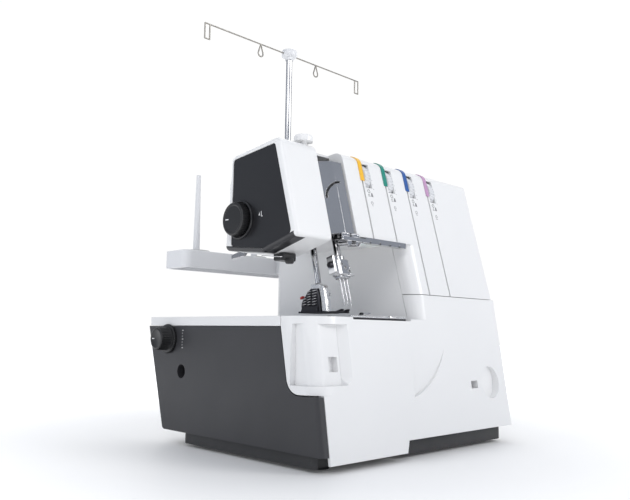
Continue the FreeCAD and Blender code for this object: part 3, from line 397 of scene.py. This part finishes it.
def rounded_rectangle(width, height, radius, steps=5, x=0.0, y=0.0):
    points = []
    for corner, (sx, sy) in enumerate(((1, 1), (-1, 1), (-1, -1), (1, -1))):
        for step in range(steps + 1):
            angle = math.pi / 2 * (corner + step / steps)
            points.append((x + sx * (width / 2 - radius) + radius * math.cos(angle),
                           y + sy * (height / 2 - radius) + radius * math.sin(angle)))
    return points


def circle(radius, count):
    turns = [2 * math.pi * step / count for step in range(count)]
    return [(radius * math.cos(turn), radius * math.sin(turn)) for turn in turns]


def wire(name, points, radius, surface, body, resolution=6):
    """A round wire through points in the row frame."""
    curve = bpy.data.curves.new(name, "CURVE")
    curve.dimensions = "3D"
    curve.bevel_depth = radius * MM
    curve.bevel_resolution = 4
    curve.resolution_u = resolution
    curve.use_fill_caps = True
    spline = curve.splines.new("BEZIER")
    spline.bezier_points.add(len(points) - 1)
    for knot, point in zip(spline.bezier_points, points):
        knot.co = point
        knot.handle_left_type = knot.handle_right_type = "AUTO"
    curve.materials.append(surface.material)
    shape = bpy.data.objects.new(name, curve)
    bpy.context.scene.collection.objects.link(shape)
    bpy.context.view_layer.update()
    solid = bpy.data.meshes.new_from_object(shape.evaluated_get(bpy.context.evaluated_depsgraph_get()))
    bpy.data.objects.remove(shape)
    return finish_piece(name, solid, surface, body, smooth=60)


def group(name, fill, surface, body, smooth=35):
    """One piece from a function that fills a bmesh with one or more solids."""
    return finish_piece(name, new_mesh(name, fill), surface, body, smooth)


def ribs(count, depth, above):
    """A wave for lathe(): rounded ribs on the parts of the profile wider than a radius."""
    def wave(angle, radius):
        return radius - depth * abs(math.sin(angle * count / 2)) ** 1.5 if radius > above else radius
    return wave


def round_piece(name, profile, where, surface, body, count=96, wave=None, smooth=35):
    return group(name, lambda work: lathe(work, profile, where, count, wave), surface, body,
                 smooth)


def screw_head(work, where, radius, height):
    """A pan head.  A raised bar across it stands in for the slot, which isn't cut."""
    lathe(work, [(0, 0), (radius, 0), (radius, height * 0.45), (radius * 0.88, height * 0.82),
                 (radius * 0.6, height), (0, height)], where, 32)
    along, across = radius * 0.8, 0.35
    prism(work, [(-along, -across), (along, -across), (along, across), (-along, across)],
          height * 0.75, height + 0.12, where)


# ---------------------------------------------------------------- knobs, dials and wheel

LEFT, RIGHT = (-1, 0, 0), (1, 0, 0)


def make_knobs():
    knob = [(0, 0.2), (15.2, 0.2), (15.9, 0.9), (16.3, 1.9), (16.3, 7.4), (15.7, 8.8), (14.7, 9.4),
            (13.6, 9.5), (12.9, 9.2), (12.5, 8.9), (6, 9.15), (0, 9.2)]
    where = pose(at(-6, 103.5, 223), LEFT)
    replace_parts(round_piece("pressure_knob_grip", knob, where, knob_black, "pressure_knob",
                            240, ribs(48, 0.5, 15.8)), "pressure_knob")
    group("pressure_knob_line", lambda work: prism(work, rounded_rectangle(1.0, 5.0, 0.4, y=8.6),
                                                   8.95, 9.22, where),
          print_white, "pressure_knob")
    collar = [(16.75, 0), (19.0, 0), (19.0, 1.1), (18.5, 1.9), (17.4, 2.1), (16.75, 1.5), (16.75, 0)]
    round_piece("pressure_knob_collar", collar, pose(at(-5.45, 103.5, 223), LEFT), piano, MACHINE)

    knob = [(0, 0), (14.9, 0), (15.5, 0.5), (15.5, 2.5), (15.0, 3.1), (12.6, 3.3), (12.1, 3.8),
            (11.8, 14.0), (11.2, 15.2), (10.2, 15.75), (9.4, 15.8), (8.8, 15.4), (0, 15.4)]
    where = pose(at(-4.2, 222, 108), LEFT)
    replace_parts(round_piece("feed_knob_grip", knob, where, knob_black, "feed_knob", 240,
                            ribs(40, 0.7, 11.5)), "differential_feed_knob")
    group("feed_knob_line", lambda work: prism(work, rounded_rectangle(0.9, 4.0, 0.4, y=5.6),
                                               15.3, 15.5, where),
          print_white, "feed_knob")

    dial = [(0, 0), (13.4, 0), (14, 0.6), (14, 7.4), (13.3, 8.6), (12.3, 9.0), (6, 9.0), (5.3, 8.6),
            (0, 8.6)]
    where = pose(at(296.3, 50, 92), RIGHT)
    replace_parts(round_piece("stitch_dial_grip", dial, where, dial_white, "stitch_dial",
                            216, ribs(36, 0.6, 13.2)), "stitch_length_dial")
    group("stitch_dial_line", lambda work: prism(work, rounded_rectangle(0.9, 4.0, 0.4, y=9.4),
                                                 8.9, 9.1, where),
          print_grey, "stitch_dial")

    wheel = [(0, 0.1), (29.4, 0.1), (31, 1.4), (31, 15.8), (30.2, 17.2), (28.8, 17.9), (27, 18),
             (25.8, 17.2), (24.8, 12), (23.5, 10.6), (12.6, 10.2), (11.2, 11), (11, 16.4), (10.2, 17.3),
             (0, 17.6)]
    where = pose(at(296.9, 118, 100), RIGHT)
    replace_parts(round_piece("handwheel_rim", wheel, where, mid_grey, "main_shaft", 336,
                            ribs(56, 0.9, 30.1)), "handwheel")
    group("handwheel_mark", lambda work: prism(work, [(-1.6, 27.1), (1.6, 27.1), (0, 29.6)], 17.4,
                                               18.0, where), print_white, "main_shaft")


def make_dials():
    profile = [(0, 0), (14.6, 0), (15.6, 0.25), (16.45, 0.8), (16.45, 5.2), (16.0, 5.6), (15.9, 5.8),
               (15.9, 8.5), (15.2, 8.95), (13.8, 9), (0, 9)]
    for index, slot_x in enumerate(SLOTS, 1):
        body = f"tension_dial_{index}"
        where = pose(at(slot_x + 4, 57, 273.5), RIGHT)
        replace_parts(round_piece(f"tension_dial_{index}_wheel", profile, where, dial_white, body,
                                240, ribs(30, 0.9, 16.1), smooth=40), body)

        def ticks(work, slot_x=slot_x):
            for step in range(30):
                turn = math.radians(12 * step)
                tall = 0.55 if step % 5 else 1.15
                out = Vector((0, math.cos(turn), math.sin(turn)))
                spot = at(slot_x + 11.3, 57, 273.5) + out * 15.82 * MM
                prism(work, [(-tall, -0.24), (tall, -0.24), (tall, 0.24), (-tall, 0.24)], 0, 0.14,
                      axes_frame(spot, (1, 0, 0), (0, -out.z, out.y), (0, out.y, out.z)))
        group(f"tension_dial_{index}_ticks", ticks, print_grey, body, smooth=0)


# ---------------------------------------------------------------- printed marks

def plane_frame(point, lean):
    """A frame on a leaning front plane: x right, y up the plane, z out of it."""
    up = Vector((0, lean, 1)).normalized()
    right = Vector((1, 0, 0))
    out = right.cross(up)
    matrix = Matrix.Identity(4)
    for row in range(3):
        matrix[row][0], matrix[row][1], matrix[row][2] = right[row], up[row], out[row]
        matrix[row][3] = point[row]
    return matrix


def axes_frame(spot, *rows):
    """A frame at a point, from the three rows of its turn."""
    return Matrix.Translation(spot) @ Matrix((*((*row, 0) for row in rows), (0, 0, 0, 1)))


def side_frame(x, y=0, z=0):
    """A frame on a plane of constant x: its x is the machine's y, its y the machine's z."""
    return axes_frame(at(x, y, z), (0, 0, 1), (1, 0, 0), (0, 1, 0))


def left_frame(x, y, z):
    """A frame on a left face, as it is looked at: x to the front, y up, z out of the face."""
    return axes_frame(at(x, y, z), (0, 0, -1), (-1, 0, 0), (0, 1, 0))


def back_frame(x, y, z):
    """A frame on a plane of constant y: its x is the machine's x, its y the machine's z."""
    return axes_frame(at(x, y, z), (1, 0, 0), (0, 0, 1), (0, 1, 0))


def flat_frame():
    """The machine coordinates' own frame."""
    return Matrix.Translation(at(0, 0, 0))


def ring_mark(work, radius, wide, where):
    lathe(work, [(radius, 0), (radius, 0.07), (radius - wide, 0.07), (radius - wide, 0)], where, 28)


def make_marks():
    """Plain generic signs: arrows, rings and scale ticks, no letters."""
    def front(work):
        for index, slot_x in enumerate(SLOTS):
            spot = plane_frame(on_front(slot_x + 8.2, 256.4), LEAN)
            prism(work, [(-3.2, -2.2), (-0.2, -2.2), (-0.2, -1.4), (-3.2, -1.4)], -0.2, 0.07, spot)
            prism(work, [(-3.2, -0.6), (-1.2, -0.6), (-1.2, 0.2), (-3.2, 0.2)], -0.2, 0.07, spot)
            prism(work, [(0.9, -2.2), (4.2, -2.2), (3.4, 2.0), (1.7, 2.0)], -0.2, 0.07, spot)
            ring_mark(work, 2.1, 0.7, spot @ Matrix.Translation(Vector((-1.4, 3.4, 0)) * MM))
            spot = plane_frame(on_front(slot_x + 8.6, 247.4), LEAN)
            ring_mark(work, 1.7, 0.5, spot)
            prism(work, [(-0.6 - 0.4 * index, -3.3), (0.6 + 0.4 * index, -3.3),
                         (0.6 + 0.4 * index, -2.7), (-0.6 - 0.4 * index, -2.7)], -0.2, 0.07, spot)
            spot = plane_frame(on_front(slot_x + 15.4, 268), LEAN)
            for step in range(3):
                prism(work, [(-0.9, 5 * step - 5.2), (0.9 - 0.25 * step, 5 * step - 5.2),
                             (0.9 - 0.25 * step, 5 * step - 4.8), (-0.9, 5 * step - 4.8)], -0.2, 0.07,
                      spot)
    group("front_marks", front, print_grey, MACHINE, smooth=0)

    def side(work):
        panel = left_frame(-5.4, 74, 226)
        prism(work, [(-2.4, -1.6), (-0.6, -1.6), (-1.5, 1.8)], -0.1, 0.07, panel)
        prism(work, rounded_rectangle(0.8, 4.2, 0.3, x=1.2, y=0.2), -0.1, 0.07, panel)
        prism(work, rounded_rectangle(2.2, 0.6, 0.25, x=2.0, y=-2.4), -0.1, 0.07, panel)
        bed = left_frame(-4, 197.5, 108)
        for step, wide in enumerate((2.6, 1.3, 1.3, 2.6, 1.3, 1.3, 2.6)):
            prism(work, rounded_rectangle(wide, 0.6, 0.25, x=wide / 2, y=3.0 * step - 9), -0.1, 0.07,
                  bed)
    group("side_marks", side, print_white, MACHINE, smooth=0)

    def right(work):
        for step in range(13):
            turn = math.radians(-150 + 25 * step)
            out = Vector((0, math.sin(turn), math.cos(turn)))
            spot = at(296.0, 50, 92) + out * 17 * MM
            tall = 1.5 if step % 3 == 0 else 0.8
            prism(work, [(-0.3, -tall), (0.3, -tall), (0.3, tall), (-0.3, tall)], -0.1, 0.08,
                  axes_frame(spot, (0, 0, 1), (out.z, out.y, 0), (-out.y, out.z, 0)))
    group("right_marks", right, print_grey, MACHINE, smooth=0)


# ---------------------------------------------------------------- needle and presser

def make_needle_head():
    where = Matrix.Translation(at(66, 40, 184)) @ Matrix.Rotation(math.radians(-15), 4, "X")

    def block(work):
        outline = [(-7.5, 4.6), (-6.1, 6), (6.1, 6), (7.5, 4.6), (7.5, -4.6), (5.4, -6.5), (-5.4, -6.5),
                   (-7.5, -4.6)]
        prism(work, outline, -14.2, 1.2, where, edge=0.7)
        prism(work, [(x * 0.82, y * 0.8 - 0.3) for x, y in outline], -17, -14.0, where, edge=0.6)
        prism(work, [(-7.2, 6.4), (-7.2, -4.4), (-10.6, -4.4), (-11.8, -3.2), (-11.8, 4.8),
                     (-10.2, 6.4)], -11.6, 5.4, where, edge=0.6)
        lathe(work, [(3.52, 1.0), (5.6, 1.0), (5.6, 4.6), (5.0, 5.4), (3.52, 5.4)], where, 48)
    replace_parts(group("needle_clamp_block", block, chrome, "needle_bar"),
                "needle_clamp")

    def screws(work):
        for z in (-5.2, -11.6):
            base = where @ Matrix.Translation(Vector((7.4, 0, z)) * MM) @ \
                Matrix.Rotation(math.radians(90), 4, "Y")
            lathe(work, [(0, 0), (1.6, 0), (1.6, 1.0), (2.7, 1.0), (2.9, 1.4), (2.9, 4.2), (2.5, 4.7),
                         (1.6, 4.7), (1.3, 3.9), (0, 3.9)], base, 36)
        for x, z in ((-4.4, -4.2), (0, -7.4), (4.4, -10.6)):
            base = where @ Matrix.Translation(Vector((x, -6.4, z)) * MM) @ \
                Matrix.Rotation(math.radians(90), 4, "X")
            lathe(work, [(0, -0.2), (1.7, -0.2), (1.7, 0.5), (1.4, 0.8), (0.95, 0.8), (0.9, -0.1),
                         (0, -0.15)], base, 28)
    group("needle_clamp_screws", screws, steel, "needle_bar")

    # Painted shade: blued-steel hexagons sit in the screws' round holes where the sockets' shade falls; the
    # ribbed thumb screw after them is a real blued-steel part.
    def socket_shade_and_knob(work):
        for x, z in ((-4.4, -4.2), (0, -7.4), (4.4, -10.6)):
            base = where @ Matrix.Translation(Vector((x, -6.4, z)) * MM) @ \
                Matrix.Rotation(math.radians(90), 4, "X")
            prism(work, circle(0.88, 6), 0.0, 0.35, base)
        base = where @ Matrix.Translation(Vector((-7.3, 0.5, -3.5)) * MM) @ \
            Matrix.Rotation(math.radians(-90), 4, "Y")
        lathe(work, [(0, 4.4), (2.7, 4.4), (2.9, 4.8), (2.9, 7.0), (2.4, 7.6), (0, 7.7)], base, 40,
              ribs(14, 0.4, 2.7))
    group("needle_clamp_socket_shade_and_knob", socket_shade_and_knob, dark_steel, "needle_bar")

    points = [(-5.6, -6.2, -15.6), (-6.4, -9.4, -16.4), (-2.4, -10.8, -16.9), (2.4, -10.8, -16.9),
              (6.4, -9.4, -16.4), (5.6, -6.2, -15.6)]
    wire("needle_thread_guide", [where @ (Vector(point) * MM) for point in points], 0.45, chrome,
         "needle_bar")


def make_presser_foot():
    def sole(work):
        left = [(44.2, 72.8), (44.2, 24), (45.2, 19.6), (47.4, 17.4), (49.4, 17.2), (50.2, 19),
                (50.2, 33), (51.6, 33.8), (53.0, 33), (53.0, 20), (54.0, 17.6), (56.2, 17.2),
                (57.5, 19.4), (57.5, 39.6), (66.4, 40.2), (67.8, 42), (67.8, 70.8), (66, 72.8)]
        prism(work, left, 134.7, 136.4, flat_frame(), edge=0.35)
        for x in (47.2, 55.3):
            toe = [(16.9, 137.7), (17.4, 138.4), (24, 136.6), (24, 135.2), (18.4, 136.3)]
            prism(work, toe, -1.9, 1.9, side_frame(x), edge=0.3)
    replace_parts(group("presser_foot_sole", sole, dark_steel, "presser"), "presser_foot")

    def shank(work):
        outline = [(41.2, 136.4), (42.3, 146), (45.4, 158.6), (46.6, 161.2), (48.6, 162.2),
                   (51.2, 161.4), (51.4, 158), (48.6, 148), (47.0, 136.4)]
        prism(work, outline, 0.4, 7.6, side_frame(50), edge=0.5)
        prism(work, [(49.5, 158.2), (60.5, 158.2), (61.4, 160), (60.6, 162.4), (49.5, 162.4)], -1.2, 7.2,
              side_frame(50), edge=0.5)
    group("presser_foot_shank", shank, satin, "presser")

    def carrier(work):
        outline = [(47.4, 136.4), (49.4, 150), (52.4, 158.6), (60.8, 158.6), (65.6, 155.2),
                   (70.2, 149.8), (73.4, 145.2), (74, 141), (72.6, 136.4)]
        prism(work, outline, 0, 8.4, side_frame(48.4), edge=0.9)
        prism(work, [(50, 136.4), (50, 141.5), (71, 141.5), (73, 136.4)], -1.4, 1.0, side_frame(48.4),
              edge=0.5)
    group("presser_foot_carrier", carrier, dark_steel, "presser")

    for number, (y, low, high) in enumerate(((54.6, 141.6, 157.4), (61.4, 141.6, 156.4),
                                             (67.4, 141.6, 149.6)), 1):
        turns = 6 if high > 150 else 3
        points = []
        for step in range(turns * 8 + 1):
            angle = 2 * math.pi * step / 8
            points.append(at(47.9 + 2.1 * math.cos(angle), y + 2.1 * math.sin(angle),
                             low + (high - low) * step / (turns * 8)))
        wire(f"presser_foot_spring_{number}", points, 0.48, steel, "presser",
             resolution=3)

    def pins(work):
        lathe(work, [(0, 0), (2.3, 0), (2.3, 0.8), (1.8, 1.3), (0, 1.4)],
              pose(at(57.6, 45.4, 153), RIGHT), 28)
        lathe(work, [(0, 0), (2.0, 0), (2.0, 0.7), (1.5, 1.1), (0, 1.2)],
              pose(at(56.8, 64.6, 146), RIGHT), 28)
    group("presser_foot_pins", pins, chrome, "presser")
    red = moulded("signal_red_plastic", (0.45, 0.02, 0.015), 0.35)
    group("presser_foot_lever", lambda work: prism(
        work, [(72.6, 149.4), (75.6, 148.4), (76.0, 150.2), (73, 151.6)], -0.4, 3.4, side_frame(49),
        edge=0.3), red, "presser")


def make_head_underside():
    """The thread cutter's blade and its round guard, the chrome thread guides and the seam guide."""
    def cutter(work):
        prism(work, [(11.6, 62.4), (13.2, 61), (28.4, 61), (30, 62.6), (30, 73.4), (28.4, 75),
                     (13.2, 75), (11.6, 73.4)], 183.2, 190.4, flat_frame(), edge=0.8)
        lathe(work, [(0, 0), (3.2, 0), (4.0, 0.8), (4.2, 1.8), (4.2, 4.2), (3.6, 5.2), (0, 5.2)],
              pose(at(20, 60.5, 180.2)), 48, ribs(18, 0.3, 3.9))
    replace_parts(group("thread_cutter_guard", cutter, knob_black, MACHINE),
                "thread_cutter")
    group("thread_cutter_blade", lambda work: prism(
        work, [(-6.0, 70.6), (-5.2, 69.2), (13, 61.6), (16, 61.6), (16, 71.6), (4, 72.6)], 185.9, 186.6,
        flat_frame(), edge=0.15), chrome, MACHINE)

    def barrels(work):
        for x, y in ((57.6, 25.6), (70.8, 25.2)):
            lathe(work, [(0, -0.2), (3.4, 0), (5.0, 1.2), (5.5, 3.0), (5.3, 5.0), (4.2, 6.2),
                         (2.3, 6.6), (1.9, 5.4), (0, 5.2)], pose(at(x, y, 204.2)), 48)
        prism(work, [(48.6, 20.4), (50, 19.2), (87.6, 19.2), (88.6, 20.2), (88.6, 22), (50, 22)],
              202.9, 206.4, flat_frame(), edge=0.3)
    group("arm_guide_barrels", barrels, chrome, MACHINE)
    points = [at(79.5, 27, 203.4), at(80, 26, 199.2), at(77.4, 22.4, 197.4), at(73.4, 20.6, 198.6),
              at(74.2, 20.2, 201.2), at(78.6, 20.6, 202.4)]
    wire("arm_guide_hook", points, 0.7, chrome, MACHINE)

    def seam_guide(work):
        prism(work, rounded_rectangle(11, 8, 1.2, x=88.5, y=27), 131.4, 132.4, flat_frame(), edge=0.2)
        prism(work, [(23.4, 132.2), (30.6, 132.2), (30, 135.6), (28.6, 136.4), (24.4, 136.4)], -0.5, 0.5,
              side_frame(84.4), edge=0.2)
        prism(work, rounded_rectangle(9.5, 1.0, 0.4, x=88.6, y=24), 135.2, 136.2, flat_frame())
    group("seam_guide", seam_guide, chrome, MACHINE)
    group("seam_guide_screw", lambda work: screw_head(work, pose(at(89.6, 28, 132.4)), 2.2, 1.3),
          dark_steel, MACHINE)

    def strip(work):
        prism(work, [(12.6, 130.9), (12.2, 131.4), (12.4, 132.4), (13.2, 133), (15.4, 133),
                     (15.9, 132.5), (15.9, 130.9)], 54, 133.5, side_frame(0), edge=0.3)
        lathe(work, [(0, 0), (1.3, 0), (1.5, 0.4), (1.5, 9), (1.3, 9.4), (0, 9.4)],
              pose(at(108, 12.6, 132.2), RIGHT), 28)
    group("needle_plate_front_strip", strip, satin, MACHINE)

    # Painted shade: a blued-steel band under the front strip stands for the shade in the gap between needle
    # plate and front cover.
    def gap_shade_strip(work):
        prism(work, [(14.6, 128.9), (12.6, 129.1), (12.3, 129.8), (12.6, 130.9), (15.9, 130.9),
                     (15.9, 128.9)], 53.6, 134, side_frame(0), edge=0.2)
    group("needle_plate_gap_shade", gap_shade_strip, dark_steel, MACHINE)

    def plate_screws(work):
        for x, y in ((40.5, 27), (97.5, 86.5), (40.5, 86.5)):
            screw_head(work, pose(at(x, y, 131.3), "Z", 0.6), 2.6, 0.9)
    group("needle_plate_screws", plate_screws, steel, MACHINE)

    def scale(work):
        for step in range(9):
            prism(work, rounded_rectangle(0.35, 7 if step % 3 == 0 else 4, 0.15, x=78 + 2.5 * step,
                                          y=56), 131.3, 131.46, flat_frame())
    group("needle_plate_scale", scale, print_grey, MACHINE, smooth=0)


# ---------------------------------------------------------------- thread stand

def make_stand_details():
    cap = [(4.36, -4.6), (5.6, -4.6), (6.0, -4.0), (6.2, -1.6), (8.8, -0.4), (10.2, 0.5), (10.5, 1.6),
           (10.5, 6.4), (10.0, 7.9), (8.9, 8.8), (7.2, 9.0), (0, 9.0)]
    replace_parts(round_piece("mast_cap_disc", cap, pose(at(*MAST, 484)), pale, "guide_bar"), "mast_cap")
    lip = [(4.5, -1.8), (5.5, -1.8), (5.7, -1.0), (5.6, -0.2), (4.9, 0.25), (4.5, 0.1)]
    round_piece("mast_lower_lip", lip, pose(at(*MAST, 345)), chrome, MACHINE)
    foot = [(5.4, 0), (9.4, 0), (9.4, 1.2), (8.2, 2.4), (6.6, 4.6), (5.4, 5.0)]
    round_piece("mast_foot_collar", foot, pose(at(*MAST, 208.6)), pale, MACHINE)

    def pads(work):
        for index in range(4):
            lathe(work, [(7.2, 0), (15.6, 0), (16, 0.4), (16, 1.6), (15.4, 2.0), (7.6, 2.0), (7.2, 1.6)],
                  pose(at(55 + 88 * index, 262, 208.5)), 64)
    group("spool_felts", pads, felt, MACHINE)


# ---------------------------------------------------------------- back and right side

def make_casing_details():
    blade = [(0, 0), (1.5, 0.35), (1.7, 1.0), (1.2, 2.2), (0, 2.9)]
    pitch, gap = 5.4, 4.15

    def louvres(work):
        for step in range(8):
            prism(work, blade, 190, 262, side_frame(0, 233, 138 + pitch * step), edge=0.4)
        for step in range(7):
            prism(work, blade, 158, 206, back_frame(296, 0, 150 + pitch * step), edge=0.4)
    group("casing_louvres", louvres, white, MACHINE)

    # Painted shade: thin black strips lie in the gaps between the louvre blades where the vent slots' shade
    # falls.
    def vent_slot_shade(work):
        for step in range(7):
            prism(work, rounded_rectangle(70, 1.4, 0.6, x=226, y=138 + pitch * step + gap), -0.15, 0.1,
                  back_frame(0, 233, 0))
        for step in range(6):
            prism(work, rounded_rectangle(46, 1.4, 0.6, x=182, y=150 + pitch * step + gap), -0.15, 0.1,
                  side_frame(296))
    group("casing_vent_slot_shade", vent_slot_shade, base_black, MACHINE)

    def heads(work):
        for x in (172, 278):
            for z in (150, 250):
                screw_head(work, pose(at(x, 233.6, z), "Y", 0.5), 3.3, 1.4)
        for y, z in ((60, 40), (222, 250), (222, 150), (100, 270)):
            screw_head(work, pose(at(296.2, y, z), RIGHT, 0.9), 3.3, 1.2)
    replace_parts(group("casing_screw_heads", heads, steel, MACHINE), "casing_screws")

    def plate(work):
        tilt = math.atan2(36, 115.5)
        where = Matrix.Translation(at(75, 241.6, 60)) @ Matrix.Rotation(-tilt, 4, "X") @ \
            axes_frame((0, 0, 0), (-1, 0, 0), (0, 0, 1), (0, 1, 0))
        prism(work, rounded_rectangle(52, 24, 2.2), -0.6, 0.25, where)
    group("blank_rating_plate", plate, steel, MACHINE)


# ---------------------------------------------------------------- floor, light and camera

CAMERA_SPOT = (-420.8, -421.3, 116.3)
CAMERA_AXES = ((0.7115, -0.7025, 0.0141), (-0.0925, -0.0738, 0.993), (-0.6966, -0.7078, -0.1175))
VIEW_AXIS = (0.697, 0.708, 0.117)       # the way the photograph's camera looks, a fixed direction
FLOOR_REACH, FLOOR_DROP = 7, 0.0002     # metres


def stage_and_light():
    """A pale floor and five soft lights.

    Two things keep the background white in the camera's view.  The floor gives off light, more
    with distance from the machine, which paints a shadow round the machine where the glow is lowest,
    and the world is white along VIEW_AXIS and grey the other way, so views from behind have a grey
    background.
    """
    mesh = new_mesh("floor", lambda work: bmesh.ops.create_grid(work, x_segments=2, y_segments=2,
                                                                size=FLOOR_REACH))
    floor = bpy.data.objects.new("floor", mesh)
    bpy.context.scene.collection.objects.link(floor)
    floor.location.z = -FLOOR_DROP
    ground = Surface("pale_floor", (0.86, 0.86, 0.86), 0.55, spec=0.2)
    ground.vary_color(ground.noise(3, 2), (0.855, 0.855, 0.855), (0.87, 0.87, 0.87))
    ground.set("Emission Color", (1, 1, 1, 1))
    # Painted shadow: the floor's glow is lowest next to the machine and rises with distance, so the floor
    # is darker round the machine.
    away = ground.node("ShaderNodeVectorMath", operation="LENGTH")
    ground.join(ground.place, away.inputs[0])
    spread = ground.node("ShaderNodeMapRange", interpolation_type="SMOOTHSTEP")
    for socket, value in (("From Min", 0.15), ("From Max", 0.75), ("To Min", 0.04), ("To Max", 0.6)):
        spread.inputs[socket].default_value = value
    ground.join(away.outputs["Value"], spread.inputs["Value"])
    ground.join(spread.outputs["Result"], ground.shader.inputs["Emission Strength"])
    mesh.materials.append(ground.material)

    world = bpy.data.worlds.new("studio")
    world.use_nodes = True
    tree = world.node_tree
    place = tree.nodes.new("ShaderNodeTexCoord")
    facing = tree.nodes.new("ShaderNodeVectorMath")
    facing.operation = "DOT_PRODUCT"
    facing.inputs[1].default_value = VIEW_AXIS
    ramp = tree.nodes.new("ShaderNodeValToRGB")
    ramp.color_ramp.interpolation = "EASE"
    ramp.color_ramp.elements[0].position = 0.35
    ramp.color_ramp.elements[0].color = (0.38, 0.41, 0.47, 1)
    ramp.color_ramp.elements[1].position = 0.80
    ramp.color_ramp.elements[1].color = (1.02, 1.02, 1.02, 1)
    tree.links.new(place.outputs["Generated"], facing.inputs[0])
    tree.links.new(facing.outputs["Value"], ramp.inputs["Fac"])
    tree.links.new(ramp.outputs["Color"], tree.nodes["Background"].inputs["Color"])
    bpy.context.scene.world = world
    lights = (("key_softbox", (-1.6, -1.1, 1.5), (1.3, 1.0), 13, (1, 0.985, 0.965)),
              ("front_light", (1.0, -2.0, 1.2), (0.9, 0.9), 18, (1, 0.99, 0.975)),
              ("top_light", (0.2, 0.2, 1.9), (1.5, 1.5), 6, (1, 1, 1)),
              ("rear_light", (0.9, 1.8, 1.1), (1.4, 1.0), 4, (1, 1, 1)),
              ("left_strip", (-1.8, 0.3, 0.7), (0.35, 1.3), 3, (0.96, 0.98, 1)))
    for name, place, size, power, color in lights:
        lamp = bpy.data.lights.new(name, "AREA")
        lamp.shape = "RECTANGLE"
        lamp.size, lamp.size_y = size
        lamp.energy = power
        lamp.color = color
        holder = bpy.data.objects.new(name, lamp)
        holder.location = place
        holder.rotation_euler = (Vector((0, 0, 0.15)) - Vector(place)).to_track_quat("-Z", "Y").to_euler()
        bpy.context.scene.collection.objects.link(holder)
    bpy.context.scene.view_settings.view_transform = "Standard"
    bpy.context.scene.view_settings.look = "None"


def place_camera():
    """A 40 mm lens at the front left.  CAMERA_AXES are its right, up and back."""
    data = bpy.data.cameras.new("camera")
    data.sensor_width = 36
    data.lens = 40
    data.clip_start, data.clip_end = 0.01, 60
    camera = bpy.data.objects.new("camera", data)
    camera.rotation_mode = "QUATERNION"
    camera.rotation_quaternion = Matrix(CAMERA_AXES).transposed().to_quaternion()
    camera.location = at(*CAMERA_SPOT)
    bpy.context.scene.collection.objects.link(camera)
    bpy.context.scene.camera = camera


dress_cad()
make_knobs()
make_dials()
make_marks()
make_needle_head()
make_presser_foot()
make_head_underside()
make_stand_details()
make_casing_details()
stage_and_light()
place_camera()
